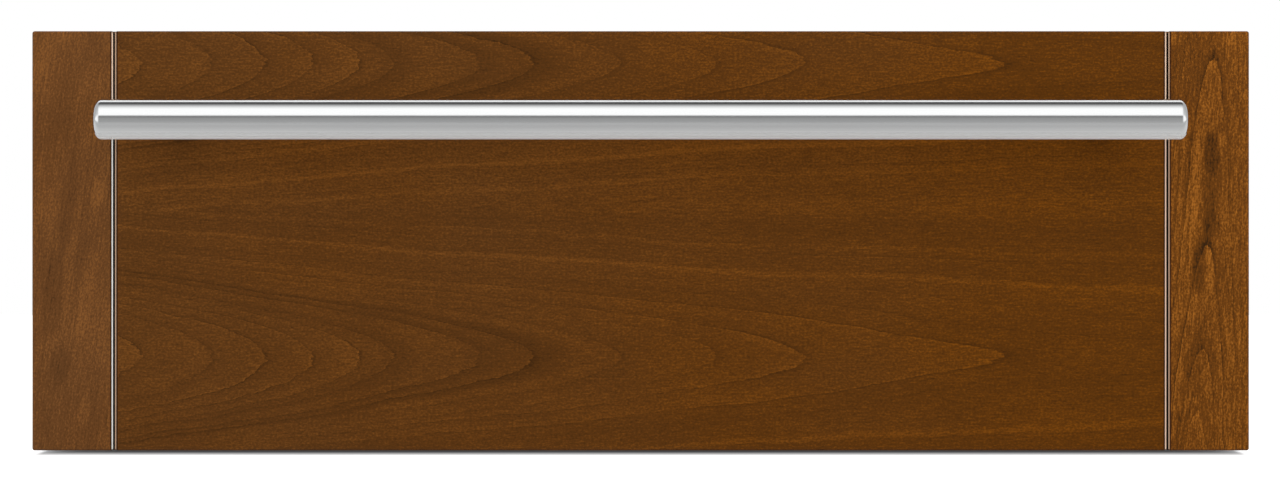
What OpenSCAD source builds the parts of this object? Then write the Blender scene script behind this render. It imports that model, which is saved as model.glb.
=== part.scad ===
// A warming drawer: a heated steel drawer in an insulated chassis, carried on three-member
// ball-bearing runners, behind a cabinet-matched wooden front with a full-width bar handle.
// Millimetres: +X right, +Y into the cabinet, +Z up. The origin lies on the surface that the
// feet stand on, in the middle of the object's width and depth.

/* [Wooden front] */
// Width of the wooden front
panel_w = 755.6; // [745:0.1:800]
// Height of the wooden front
panel_h = 260.4; // [258:0.1:280]
// Thickness of the wooden front
panel_t = 19; // [16:0.5:24]
// Gap from the surface below up to the wooden front
panel_lift = 3; // [1:0.5:4]
// Width of each upright stile, up to the middle of its inlay
stile_w = 50.8; // [40:0.1:65]
// Radius of the front's four corners
corner_r = 1.6; // [0.8:0.1:4]
// Chamfer along the front's outer edges
arris = 0.8; // [0.3:0.1:1.5]
// Width of the metal inlay between a stile and the centre
inlay_w = 2.9; // [2.6:0.1:4]
// Depth of the inlay's groove
inlay_depth = 6; // [4:0.5:9]
// Thickness of the inlay's lips and floor
inlay_lip = 0.8; // [0.5:0.05:1]
// Gap between the inlay and the wood
inlay_gap = 0.15; // [0.05:0.05:0.3]

/* [Handle] */
// From the front's side edge to the handle's end
handle_inset = 45.3; // [30:0.1:70]
// Diameter of the handle bar
handle_d = 24.4; // [20:0.1:28]
// Wall of the handle's tube
handle_wall = 2; // [1.2:0.1:3]
// Height of the rounded end of a cap
cap_dome = 5.2; // [4.6:0.1:6]
// Radius of a cap's rounded edge
cap_edge_r = 4; // [3:0.1:4.4]
// Length of a cap's spigot inside the tube
cap_spigot = 8; // [5:0.5:14]
// From the wood's face to the bar's axis
handle_standoff = 45; // [38:0.5:55]
// From the front's top edge down to the bar's axis
handle_drop = 56; // [45:0.5:70]
// From the handle's end to the axis of its post
post_inset = 47.5; // [30:0.5:90]
// Diameter of a handle post
post_d = 16; // [12:0.5:19]
// Diameter of a post's foot on the wood
post_foot_d = 22; // [19:0.5:28]
// Thickness of a post's foot
post_foot_t = 3; // [2:0.5:5]
// Diameter of the screw that holds a post
handle_screw_d = 5; // [4:0.5:6]

/* [Steel drawer front] */
// How far the steel front stays inside the wooden one, all round
door_inset = 4; // [3:0.5:5]
// Thickness of the steel front
door_t = 26; // [24:0.5:34]
// Radius of the steel front's corners
door_corner_r = 4; // [2:0.5:8]
// Width of the gasket's foot
gasket_w = 10; // [8:0.5:12]
// Height of the gasket when the drawer is shut
gasket_t = 3.5; // [2.5:0.1:5]
// From the cavity's mouth to the gasket
gasket_margin = 6; // [4:0.5:8]
// Gap that is left between the gasket and the face frame
seal_gap = 0.3; // [0.2:0.05:0.6]

/* [Controls] */
// Width of the control strip in the top edge
strip_w = 300; // [280:1:340]
// Depth of the control strip
strip_d = 18; // [16:0.5:19]
// Height of the control housing below the edge
strip_h = 14; // [13:0.5:18]
// Distance from button to button
button_pitch = 48; // [40:1:54]
// Width of a button
button_w = 13; // [10:0.5:18]
// Depth of a button
button_d = 7; // [5:0.5:8]
// How far a button stands out
button_proud = 1.2; // [1.1:0.1:1.6]
// How far a button travels
button_travel = 1; // [0.5:0.1:1]
// Diameter of an indicator lens
lens_d = 3; // [2:0.1:3.4]

/* [Vent] */
// Number of vent slots in the liner
vent_slots = 8; // [4:1:10]
// Width of a vent slot
vent_slot_w = 12; // [8:1:12]
// Height of a vent slot
vent_slot_h = 10; // [6:0.5:12]
// Height of the vent shutter
shutter_h = 17; // [15:0.5:18]
// Diameter of the shutter's knob
knob_d = 9; // [6:0.5:12]

/* [Chassis] */
// From the wooden front's top edge down to the chassis
chassis_drop = 15.4; // [12:0.1:20]
// Depth of the rear bay behind the insulation
bay_d = 64; // [54:1:110]
// Height of the glide feet
foot_h = 16; // [14:0.5:18]
// Diameter of a glide foot
foot_d = 32; // [24:1:40]
// Thickness of all the sheet steel
sheet = 1; // [0.8:0.05:1.2]
// Height of the folded flanges
fold_h = 15; // [12:0.5:18]
// Space for the insulation between chassis and cavity
insulation_t = 20; // [18:0.5:24]

/* [Face frame] */
// How far the face frame stays inside the wooden front's sides
frame_reveal = 5.3; // [4:0.1:8]
// How far the face frame reaches past the chassis at its sides
frame_flange = 12.15; // [10:0.05:14]
// How far the face frame reaches past the chassis above and below
frame_brim = 7; // [5:0.5:8]
// Thickness of the face frame
frame_t = 1.5; // [1:0.1:2]
// Diameter of the frame's screw holes
frame_hole_d = 4.5; // [3.5:0.1:5]
// Distance between upper and lower screw holes
frame_hole_pitch = 160; // [120:1:200]

/* [Cavity and heater] */
// From the runners' back ends to the cavity's back
cavity_end_gap = 13; // [8:0.5:20]
// Diameter of the heating element's tube
element_d = 8; // [6:0.5:8.5]
// Distance between the element's legs
element_pitch = 70; // [50:1:74]
// Height of the element's axis above the cavity floor
element_rise = 14; // [10:0.5:20]
// From the cavity's mouth to the element's front bends
element_front_gap = 90; // [60:1:120]
// From the element's back bends to the cavity's back
element_back_gap = 75; // [50:1:110]

/* [Drawer box] */
// How far the drawer box ends short of its runners
box_setback = 7.3; // [4:0.1:12]
// From the drawer box up to the cavity's roof
box_headroom = 28; // [25:1:44]
// From the cavity floor up to the drawer box
box_rise = 35; // [32:0.5:38]
// Radius of the drawer box's corners
box_corner_r = 9; // [5:0.5:16]
// Width of the drawer box's turned rim
rim_w = 5; // [3:0.5:6]
// Height of the rack's wires above the drawer's floor
rack_h = 20; // [14:1:30]
// Diameter of the rack's thick wires
rack_wire_d = 5; // [4:0.5:6]
// Distance between the rack's thin wires
rack_pitch = 30; // [24:1:45]

/* [Runners] */
// Length of a runner's members
runner_l = 490; // [480:1:496]
// How much the drawer's travel falls short of the runners' length
travel_short = 30; // [20:1:60]
// Space that a runner takes between drawer and cavity
runner_t = 12.7; // [12.4:0.1:14]
// Height of a runner
runner_h = 45.6; // [42:0.2:50]
// Thickness of a runner's steel
runner_sheet = 1; // [0.9:0.05:1]
// Diameter of a bearing ball
ball_d = 3.2; // [3:0.1:3.2]
// Gap between a ball and its races
race_gap = 0.2; // [0.1:0.05:0.25]
// Distance from ball to ball
ball_pitch = 30; // [20:1:36]
// Height of the runner's middle above the drawer's floor
runner_rise = 47; // [40:1:60]
// Gap between the cavity's mouth and a runner's front end
runner_inset = 2; // [1:0.5:4]

/* [Hidden] */
$fn = 48;

LEFT = -1;
RIGHT = 1;

// Depths are measured from the cabinet's face plane, which is the back of the face frame
seal_y = -frame_t - seal_gap;
liner_y = seal_y - gasket_t;
door_y = liner_y - door_t;
wood_y = door_y - panel_t;
handle_y = wood_y - handle_standoff;
grommet_lip = 2;
front_reach = handle_y - handle_d / 2;

// Depths behind the face plane, from the runners backwards
rail_y0 = runner_inset;
rail_y1 = rail_y0 + runner_l;
travel = runner_l - travel_short;
cavity_d = rail_y1 + cavity_end_gap;
blanket_back = cavity_d + sheet + insulation_t;
chassis_d = blanket_back + bay_d;
rear_reach = chassis_d + grommet_lip;
face_y = -(front_reach + rear_reach) / 2;

// Heights of the front
panel_z0 = panel_lift;
panel_z1 = panel_lift + panel_h;
door_z0 = panel_z0 + door_inset;
door_z1 = panel_z1 - door_inset;
door_w = panel_w - 2 * door_inset;
handle_z = panel_z1 - handle_drop;
handle_l = panel_w - 2 * handle_inset;
post_pitch = handle_l - 2 * post_inset;
joint_x = panel_w / 2 - stile_w;
rebate_w = inlay_w / 2 + inlay_gap;

// Chassis and cavity: sheet, insulation, sheet
shell_t = sheet + insulation_t + sheet;
frame_w = panel_w - 2 * frame_reveal;
chassis_w = frame_w - 2 * frame_flange;
chassis_z0 = foot_h;
chassis_z1 = panel_z1 - chassis_drop;
chassis_h = chassis_z1 - chassis_z0;
frame_h = chassis_h + 2 * frame_brim;
chassis_zm = (chassis_z0 + chassis_z1) / 2;
cavity_z0 = chassis_z0 + shell_t;
cavity_z1 = chassis_z1 - shell_t;
cavity_w = chassis_w - 2 * shell_t;
side_in = chassis_w / 2 - sheet;
fold_in = side_in - sheet;
blanket_gap = 0.1;
blanket_start = 13;
tab_d = 12;
frame_hole_x = (frame_w / 2 + chassis_w / 2) / 2;
bead_w = 22;
bead_rise = 2.5;
bead_margin = 70;
top_bead_xs = [for (k = [-0.28, 0, 0.28]) k * chassis_w];
base_bead_xs = [for (k = [-0.2, 0.2]) k * chassis_w];
air_slot_h = 4;
air_slot_pitch = 12;
air_slot_rows = 8;
louvre_w = 34;
louvre_h = 4;
louvre_pitch = [60, 12];
louvre_rows = 6;
louvre_x0 = -60;
hood_wall = 0.8;

// Drawer box between its runners
box_w = cavity_w - 2 * runner_t;
box_z0 = cavity_z0 + box_rise;
box_z1 = cavity_z1 - box_headroom;
box_h = box_z1 - box_z0;
box_y0 = liner_y;
box_y1 = rail_y1 - box_setback;
box_d = box_y1 - box_y0;
rail_z = box_z0 + runner_rise;

// Runner section: u from the drawer's side to the cavity wall, v up from the middle
run_gap = 0.3;
ball_r = ball_d / 2;
race_r = ball_r + race_gap;
race_out = race_r + runner_sheet;
race_mid = race_r + runner_sheet / 2;
nest_angle = 25.8;
outer_ball = [run_gap + race_out, runner_h / 2 - race_out];
inner_ball = outer_ball + 2 * race_mid * [cos(nest_angle), -sin(nest_angle)];
middle_web = inner_ball.x + race_mid;
inner_foot_angle = 235;
inner_tip_angle = 280;
middle_tip_angle = 205;
outer_tip_angle = 165;
inner_flange = inner_ball.y + race_mid * sin(inner_foot_angle);
inner_tip = inner_ball.x + race_out * cos(inner_tip_angle);
cage_t = 0.5;
cage_flange_t = 0.4;
outer_cage_web = (middle_web + runner_sheet / 2 + runner_t - runner_sheet) / 2;
outer_cage_flange = (inner_ball.y + race_out + runner_h / 2 - runner_sheet) / 2;
inner_cage_web = (inner_tip + middle_web - runner_sheet / 2) / 2;
cage_end_gap = 5;
cage_l = runner_l - travel / 2 - 2 * cage_end_gap;
cage_y0 = rail_y0 + travel / 4 + cage_end_gap;
ball_count = floor((cage_l - 20) / ball_pitch) + 1;
ball_y0 = cage_y0 + (cage_l - (ball_count - 1) * ball_pitch) / 2;
pocket_r = ball_r + 0.15;

// Fasteners
pan_head_r = 3.5;
pan_head_t = 1.6;
sheet_screw_r = 1.45;
sheet_hole_r = 1.5;
sheet_screw_l = 6;
wood_screw_r = 1.9;
wood_screw_bite = 12;
fastener_gap = 0.05;
handle_screw_r = handle_screw_d / 2 - fastener_gap;
handle_screw_bite = 14;
handle_head_r = 4.4;
handle_head_t = 3;
rivet_r = 1.9;
rivet_head_r = 3.4;
rivet_head_t = 1.2;
side_screw_ends = [50, 60];
side_screw_pitch = (chassis_d - side_screw_ends.x - side_screw_ends.y) / 3;
side_screw_ys = [for (i = [0:3]) side_screw_ends.x + i * side_screw_pitch];
side_tab_zs = [for (s = [-1, 1]) chassis_zm + s * chassis_h * 0.18];
rail_screw_ys = [for (k = [0.08, 0.5, 0.92]) rail_y0 + k * runner_l];
box_screw_xs = [for (k = [-0.4, -0.14, 0.14, 0.4]) k * box_w];
panel_screw_xs = [for (k = [-1, -0.34, 0.34, 1]) k * (joint_x - 20)];
panel_screw_zs = [door_z0 + 22, door_z1 - 30];
stile_screw_x = joint_x + stile_w / 2 - 4;

// Controls
strip_y = (door_y + liner_y) / 2;
strip_lip = 0.8;
strip_lip_w = 1.5;
strip_wall = 1.5;
strip_top_t = 1.8;
strip_under = door_z1 + strip_lip - strip_top_t;
button_gap = 0.3;
button_y = strip_y + 2.6;
button_flange = 1.2;
switch_gap = 0.15;
board_t = 1.6;
board_z = door_z1 - strip_h + 4;
switch_w = 6;
switch_h = 3;
plunger_h = 0.8;
switch_top = board_z + switch_h + plunger_h;
lens_y = strip_y - 5;
lens_lip = 0.7;
control_inner = [strip_w - 2 * strip_wall, strip_d - 2 * strip_wall];

// Vent
vent_z = (box_z1 + cavity_z1) / 2;
vent_pitch = 2 * vent_slot_w;
vent_travel = vent_slot_w;
vent_field = (vent_slots - 1) * vent_pitch + vent_slot_w;
shutter_t = 1;
shutter_gap = 0.2;
shutter_margin = 6;
shutter_x0 = -vent_field / 2 - vent_travel - shutter_margin;
shutter_x1 = vent_field / 2 + shutter_margin;
guide_t = 2.5;
guide_web = 2;
guide_lip = 1;
guide_cover = 1.2;

// Heater
element_r = element_d / 2;
element_legs = 6;
element_y0 = element_front_gap;
element_y1 = cavity_d - element_back_gap;
element_z = cavity_z0 + element_rise;
element_hole_r = element_r + 0.3;
element_tail = 30;
bracket_t = 1.5;
bracket_foot = 12;
bracket_ys = [for (k = [0.15, 0.85]) element_y0 + k * (element_y1 - element_y0)];
sensor_x = -120;
sensor_z = (box_z1 + cavity_z1) / 2;
sensor_r = 3;
sensor_l = 60;
sensor_flange_r = 7;
thermostat_x = 130;
thermostat_z = sensor_z - 40;
thermostat_r = 9.5;

// Rear bay
board_w = 120;
board_h = 90;
board_x = -150;
board_y = chassis_d - sheet - 10;
standoff_r = 3;
standoff_neck_r = 1.6;
standoff_head_r = 2.4;
standoff_head_t = 1.5;
standoff_snap = 0.2;
board_edge = 6;
transformer = [38, 30, 34];
relay = [20, 16, 16];
relay_pitch = 24;
capacitor_r = 8;
capacitor_l = 22;
capacitor_pitch = 26;
grommet_inset = 60.35;
grommet_x = chassis_w / 2 - grommet_inset;
terminal_inset = 60;
terminal_x = grommet_x - terminal_inset;
terminal_y = blanket_back + 14;
terminal_size = [45, 22, 20];
terminal_bore_r = 3.5;
grommet_z = chassis_z0 + 45;
grommet_bore_r = 8;
grommet_neck_r = 10.5;
grommet_lip_r = 13;

// ---- helpers ----

// Moves what is drawn from the cabinet's face plane into the part's own frame.
module placed() translate([0, face_y, 0]) children();

// A block between two corners.
module span(low, high) translate(low) cube(high - low);

// Extrudes an XZ outline along +Y between two depths.
module along_y(y0, y1) translate([0, y1, 0]) rotate([90, 0, 0]) linear_extrude(y1 - y0) children();

// Extrudes a YZ outline along +X between two places.
module along_x(x0, x1) translate([x0, 0, 0]) rotate([90, 0, 90]) linear_extrude(x1 - x0) children();

// Extrudes an XY outline upwards between two heights.
module along_z(z0, z1) translate([0, 0, z0]) linear_extrude(z1 - z0) children();

// A round rod along Y, along X or upright.
module rod_y(x, z, r, y0, y1) translate([x, y1, z]) rotate([90, 0, 0]) cylinder(r = r, h = y1 - y0);
module rod_x(y, z, r, x0, x1) translate([x0, y, z]) rotate([0, 90, 0]) cylinder(r = r, h = x1 - x0);
module rod_z(x, y, r, z0, z1) translate([x, y, z0]) cylinder(r = r, h = z1 - z0);

// Draws a right-hand piece as it is, or turned over to the left.
module on_side(side) mirror([side == LEFT ? 1 : 0, 0, 0]) children();

// A rectangle round a centre with true round corners.
module round_rect(size, r, at = [0, 0]) {
    translate(at) {
        square([size.x - 2 * r, size.y], center = true);
        square([size.x, size.y - 2 * r], center = true);
        for (sx = [-1, 1]) {
            for (sy = [-1, 1]) {
                translate([sx * (size.x / 2 - r), sy * (size.y / 2 - r)]) circle(r);
            }
        }
    }
}

// A slice of a ring from one angle to another, turning anticlockwise, at most half a turn.
module ring_slice(at, r_in, r_out, a0, a1) {
    far = 4 * r_out;
    am = (a0 + a1) / 2;
    translate(at) intersection() {
        difference() {
            circle(r_out);
            circle(r_in);
        }
        polygon([
            [0, 0],
            far * [cos(a0), sin(a0)],
            far * [cos(am), sin(am)],
            far * [cos(a1), sin(a1)]
        ]);
    }
}

// A slot's outline with round ends, about its own middle.
module slot_outline(length, height) {
    square([length - height, height], center = true);
    for (s = [-1, 1]) {
        translate([s * (length - height) / 2, 0]) circle(height / 2);
    }
}

// A pressed bead: a low ridge with sloping sides and ends, and a foot that reaches below it.
module bead(length, width, rise, foot) intersection() {
    along_y(-length / 2, length / 2) bead_section(width, rise, foot);
    along_x(-width / 2, width / 2) bead_section(length, rise, foot);
}

module bead_section(across, rise, foot) polygon([
    [-across / 2, -foot], [across / 2, -foot], [across / 2, 0],
    [across / 2 - rise, rise], [rise - across / 2, rise], [-across / 2, 0]
]);

// Draws an outline and its reflection in the runner's middle plane.
module both_rows() {
    children();
    mirror([0, 1]) children();
}

// ---- wooden front ----

// The whole front before it is divided, with its corners round and its outer edges chamfered.
module front_blank() {
    back = wood_y + panel_t;
    half = panel_w / 2;
    intersection() {
        along_y(wood_y, back)
            round_rect([panel_w, panel_h], corner_r, [0, panel_z0 + panel_h / 2]);
        along_x(-half, half) polygon([
            [back, panel_z0], [back, panel_z1],
            [wood_y + arris, panel_z1], [wood_y, panel_z1 - arris],
            [wood_y, panel_z0 + arris], [wood_y + arris, panel_z0]
        ]);
        along_z(panel_z0, panel_z1) polygon([
            [-half, back], [half, back],
            [half, wood_y + arris], [half - arris, wood_y],
            [arris - half, wood_y], [-half, wood_y + arris]
        ]);
    }
}

// The grooves that the inlays lie in.
module inlay_grooves() {
    for (s = [LEFT, RIGHT]) {
        span(
            [s * joint_x - rebate_w, wood_y - 1, panel_z0 - 1],
            [s * joint_x + rebate_w, wood_y + inlay_depth, panel_z1 + 1]
        );
    }
}

// Holes from behind for the screws that hold the wood.
module panel_screw_holes(r) {
    for (z = panel_screw_zs) {
        for (x = concat(panel_screw_xs, [-stile_screw_x, stile_screw_x])) {
            rod_y(x, z, r, door_y - wood_screw_bite - 1, door_y + 1);
        }
    }
}

// Holes right through for the two handle screws.
module handle_screw_holes(r, y0, y1) {
    for (s = [LEFT, RIGHT]) {
        rod_y(s * post_pitch / 2, handle_z, r, y0, y1);
    }
}

// One board of the front, between two places across its width.
module front_board(x0, x1) {
    difference() {
        intersection() {
            front_blank();
            span([x0, wood_y - 1, panel_z0 - 1], [x1, door_y + 1, panel_z1 + 1]);
        }
        inlay_grooves();
        panel_screw_holes(wood_screw_r + fastener_gap);
        handle_screw_holes(handle_screw_r + 0.3, wood_y - 1, door_y + 1);
    }
}

module centre_panel() placed() color("saddlebrown") front_board(-joint_x, joint_x);

module stile(side) placed() color("sienna") on_side(side) front_board(joint_x, panel_w / 2 + 1);

module left_stile() stile(LEFT);
module right_stile() stile(RIGHT);

// A slim channel: two bright lips with a dark slot between them.
module inlay(side) placed() color("gainsboro") {
    translate([side * joint_x, wood_y, 0]) along_z(panel_z0 + arris, panel_z1 - arris) difference() {
        translate([-inlay_w / 2, 0]) square([inlay_w, inlay_depth]);
        translate([inlay_lip - inlay_w / 2, -1])
            square([inlay_w - 2 * inlay_lip, inlay_depth + 1 - inlay_lip]);
    }
}

module left_inlay() inlay(LEFT);
module right_inlay() inlay(RIGHT);

// ---- handle ----

bar_half = handle_l / 2 - cap_dome;
bar_r = handle_d / 2;
bore_r = bar_r - handle_wall;

module handle_bar() placed() color("silver") difference() {
    rod_x(handle_y, handle_z, bar_r, -bar_half, bar_half);
    rod_x(handle_y, handle_z, bore_r, -bar_half - 1, bar_half + 1);
}

// Half the section of a cap: a shallow dome that runs through a round edge into the bar.
module cap_section() {
    edge_at = bar_r - cap_edge_r;
    dome_r = (edge_at * edge_at + cap_dome * cap_dome - cap_edge_r * cap_edge_r)
        / (2 * (cap_dome - cap_edge_r));
    meet = dome_r * edge_at / (dome_r - cap_edge_r);
    spigot_r = bore_r - fastener_gap;
    intersection() {
        translate([0, cap_dome - dome_r]) circle(dome_r, $fn = 180);
        square([meet, cap_dome + 1]);
    }
    intersection() {
        translate([edge_at, 0]) circle(cap_edge_r);
        translate([meet, 0]) square([bar_r, cap_dome]);
    }
    translate([0, -cap_spigot]) square([spigot_r, cap_spigot]);
}

module handle_caps() placed() color("silver") {
    for (s = [LEFT, RIGHT]) {
        on_side(s) translate([bar_half, handle_y, handle_z]) rotate([0, 90, 0])
            rotate_extrude() cap_section();
    }
}

module handle_posts() placed() color("silver") {
    for (s = [LEFT, RIGHT]) {
        difference() {
            union() {
                rod_y(s * post_pitch / 2, handle_z, post_d / 2, handle_y, wood_y);
                rod_y(s * post_pitch / 2, handle_z, post_foot_d / 2, wood_y - post_foot_t, wood_y);
            }
            rod_x(handle_y, handle_z, bar_r + fastener_gap, -handle_l / 2, handle_l / 2);
            rod_y(
                s * post_pitch / 2, handle_z, handle_screw_d / 2,
                wood_y - handle_screw_bite - 2, wood_y + 1
            );
        }
    }
}

module handle_screws() placed() color("silver") {
    for (s = [LEFT, RIGHT]) {
        x = s * post_pitch / 2;
        rod_y(x, handle_z, handle_screw_r, wood_y - handle_screw_bite, door_y + sheet);
        rod_y(x, handle_z, handle_head_r, door_y + sheet, door_y + sheet + handle_head_t);
    }
}

module panel_screws() placed() color("silver") {
    for (z = panel_screw_zs) {
        for (x = concat(panel_screw_xs, [-stile_screw_x, stile_screw_x])) {
            rod_y(x, z, wood_screw_r, door_y - wood_screw_bite, door_y + sheet);
            rod_y(x, z, pan_head_r, door_y + sheet, door_y + sheet + pan_head_t);
        }
    }
}

// ---- steel drawer front ----

// The steel front's outline, drawn in by a given amount.
module door_outline(inset = 0) {
    round_rect(
        [door_w - 2 * inset, door_z1 - door_z0 - 2 * inset],
        door_corner_r - inset * 0.8,
        [0, (door_z0 + door_z1) / 2]
    );
}

shell_back = liner_y - sheet;
liner_fold = 8;

module door_shell() placed() color("darkgray") difference() {
    along_y(door_y, shell_back) door_outline();
    along_y(door_y + sheet, shell_back + 1) door_outline(sheet);
    panel_screw_holes(wood_screw_r + fastener_gap);
    handle_screw_holes(handle_screw_r + 0.3, door_y - 1, door_y + sheet + 1);
    span(
        [-strip_w / 2 - 0.2, strip_y - strip_d / 2 - 0.2, door_z1 - sheet - 1],
        [strip_w / 2 + 0.2, strip_y + strip_d / 2 + 0.2, door_z1 + 1]
    );
    for (s = [LEFT, RIGHT]) {
        for (i = [0:5]) {
            x = s * (strip_w / 2 + 36 + i * 20);
            span([x - 7, strip_y - 2, door_z1 - sheet - 1], [x + 7, strip_y + 2, door_z1 + 1]);
        }
    }
}

// The vent's row of slots, moved sideways by a given amount.
module vent_slots_cut(shift, y0, y1) {
    for (i = [0:vent_slots - 1]) {
        x = shift - vent_field / 2 + i * vent_pitch;
        span([x, y0, vent_z - vent_slot_h / 2], [x + vent_slot_w, y1, vent_z + vent_slot_h / 2]);
    }
}

module door_liner() placed() color("lightgray") difference() {
    union() {
        along_y(shell_back, liner_y) door_outline();
        along_y(shell_back - liner_fold, shell_back) difference() {
            door_outline(sheet + blanket_gap);
            door_outline(2 * sheet + blanket_gap);
        }
    }
    vent_slots_cut(0, shell_back - 1, liner_y + 1);
    box_front_holes();
    span(
        [-strip_w / 2 - 1, shell_back - liner_fold - 1, door_z1 - 2 * sheet - 1],
        [strip_w / 2 + 1, strip_y + strip_d / 2 + 1, door_z1 + 1]
    );
}

module door_insulation() placed() color("khaki") difference() {
    span(
        [-door_w / 2 + 4, door_y + sheet + blanket_gap, door_z0 + 4],
        [door_w / 2 - 4, shell_back - blanket_gap, box_z1 - 2]
    );
    for (s = [LEFT, RIGHT]) {
        rod_y(s * post_pitch / 2, handle_z, handle_head_r + 2, door_y, door_y + 8);
    }
    for (z = panel_screw_zs) {
        for (x = concat(panel_screw_xs, [-stile_screw_x, stile_screw_x])) {
            rod_y(x, z, pan_head_r + 1, door_y, door_y + 5);
        }
    }
    for (x = box_screw_xs) {
        rod_y(x, box_front_z, rivet_head_r + 1, shell_back - 4, shell_back + 1);
    }
}

module gasket_ring(w, y0, y1) {
    mid = [cavity_w + 2 * gasket_margin + gasket_w, cavity_z1 - cavity_z0 + 2 * gasket_margin + gasket_w];
    at = [0, (cavity_z0 + cavity_z1) / 2];
    along_y(y0, y1) difference() {
        round_rect(mid + [w, w], gasket_w, at);
        round_rect(mid - [w, w], gasket_w - w * 0.9, at);
    }
}

module door_gasket() placed() color("dimgray") {
    gasket_ring(gasket_w, liner_y, liner_y + gasket_t * 0.45);
    gasket_ring(gasket_w * 0.55, liner_y, seal_y);
}

// ---- controls in the top edge ----

function button_x(i) = (i - 2) * button_pitch;

module control_housing() placed() color("black") difference() {
    union() {
        along_z(strip_under, door_z1 + strip_lip)
            round_rect([strip_w, strip_d], 1, [0, strip_y]);
        along_z(door_z1, door_z1 + strip_lip)
            round_rect([strip_w + 2 * strip_lip_w, strip_d + 2 * strip_lip_w], 2, [0, strip_y]);
        along_z(door_z1 - strip_h, strip_under) difference() {
            round_rect([strip_w, strip_d], 1, [0, strip_y]);
            translate([0, strip_y]) square(control_inner, center = true);
        }
        for (s = [LEFT, RIGHT]) {
            on_side(s) span(
                [control_inner.x / 2 - 3, strip_y - control_inner.y / 2, door_z1 - strip_h],
                [control_inner.x / 2, strip_y + control_inner.y / 2, board_z - board_t]
            );
        }
    }
    for (i = [0:4]) {
        along_z(strip_under - 1, door_z1 + 2) round_rect(
            [button_w + 2 * button_gap, button_d + 2 * button_gap], 2, [button_x(i), button_y]
        );
        rod_z(button_x(i), lens_y, lens_d / 2 + 0.1, strip_under - 1, door_z1 + 2);
    }
}

module control_board() placed() color("darkgreen") {
    span(
        [-control_inner.x / 2 + 0.5, strip_y - control_inner.y / 2 + 0.3, board_z - board_t],
        [control_inner.x / 2 - 0.5, strip_y + control_inner.y / 2 - 0.3, board_z]
    );
    for (i = [0:4]) {
        span(
            [button_x(i) - switch_w / 2, button_y - switch_w / 2, board_z],
            [button_x(i) + switch_w / 2, button_y + switch_w / 2, board_z + switch_h]
        );
        rod_z(button_x(i), button_y, 1.6, board_z + switch_h, switch_top);
        rod_z(button_x(i), lens_y, lens_d / 2 - 0.2, board_z, strip_under - lens_lip - 0.3);
    }
}

module indicator_lenses() placed() color("orange") {
    for (i = [0:4]) {
        rod_z(button_x(i), lens_y, lens_d / 2, strip_under, door_z1 + strip_lip + 0.2);
        rod_z(button_x(i), lens_y, lens_d / 2 + 0.6, strip_under - lens_lip, strip_under);
    }
}

// A push button: a cap, a flange that stops under the strip, and a stem over its switch.
module push_button(i) placed() color("whitesmoke") {
    flange_top = strip_under - 0.05;
    along_z(flange_top, door_z1 + strip_lip + button_proud)
        round_rect([button_w, button_d], 1.7, [button_x(i), button_y]);
    along_z(flange_top - 1, flange_top) round_rect(
        [button_w + 2 * button_flange, button_d + 2 * button_flange], 1, [button_x(i), button_y]
    );
    rod_z(button_x(i), button_y, 1.6, switch_top + button_travel + switch_gap, flange_top - 1);
}

module power_button() push_button(0);
module proof_button() push_button(1);
module low_button() push_button(2);
module medium_button() push_button(3);
module high_button() push_button(4);

// ---- vent in the liner ----

// Two strips with a lip each, in which the shutter slides.
module vent_guides() placed() color("lightgray") {
    half = shutter_h / 2 + shutter_gap;
    for (s = [-1, 1]) {
        along_x(shutter_x0 - 4, shutter_x1 + vent_travel + 4) {
            translate([liner_y, vent_z]) mirror([0, s < 0 ? 1 : 0]) {
                translate([0, half]) square([guide_t, guide_web]);
                translate([guide_t - guide_lip, half - guide_cover])
                    square([guide_lip, guide_cover + guide_web]);
            }
        }
    }
}

module vent_shutter() placed() color("gray") {
    y0 = liner_y + shutter_gap;
    difference() {
        span(
            [shutter_x0, y0, vent_z - shutter_h / 2],
            [shutter_x1, y0 + shutter_t, vent_z + shutter_h / 2]
        );
        vent_slots_cut(-vent_travel, y0 - 1, y0 + shutter_t + 1);
    }
    knob_x = shutter_x1 - knob_d / 2 - 0.5;
    rod_y(knob_x, vent_z, knob_d / 2 - 1, y0 + shutter_t, y0 + shutter_t + 7);
    rod_y(knob_x, vent_z, knob_d / 2, y0 + shutter_t + 4, y0 + shutter_t + 8);
}

// ---- drawer box ----

box_front_z = box_z0 + 0.72 * box_h;
floor_top = box_z0 + sheet;

// The box's plan, drawn in or let out by a given amount.
module box_plan(inset = 0) {
    round_rect(
        [box_w - 2 * inset, box_d - 2 * inset], max(box_corner_r - inset, 1), [0, (box_y0 + box_y1) / 2]
    );
}

// The rim's plan: wider than the box at its sides and back, and flush at its front.
module rim_plan(inset = 0) {
    intersection() {
        box_plan(inset - rim_w);
        translate([-cavity_w / 2, box_y0]) square([cavity_w, box_d + 2 * rim_w]);
    }
}

module box_front_holes() {
    for (x = box_screw_xs) {
        rod_y(x, box_front_z, rivet_r + fastener_gap, shell_back - 1, box_y0 + sheet + 1);
    }
}

module drawer_box() placed() color("silver") difference() {
    union() {
        along_z(box_z0, box_z1) box_plan();
        along_z(box_z1 - sheet, box_z1) rim_plan();
        along_z(box_z1 - rim_w, box_z1) difference() {
            rim_plan();
            rim_plan(sheet);
        }
    }
    along_z(floor_top, box_z1 + 1) box_plan(sheet);
    box_front_holes();
    for (s = [LEFT, RIGHT]) {
        for (y = rail_screw_ys) {
            on_side(s) rod_x(y, rail_z, rivet_r + fastener_gap, box_w / 2 - 3, box_w / 2 + 1);
        }
    }
}

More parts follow.
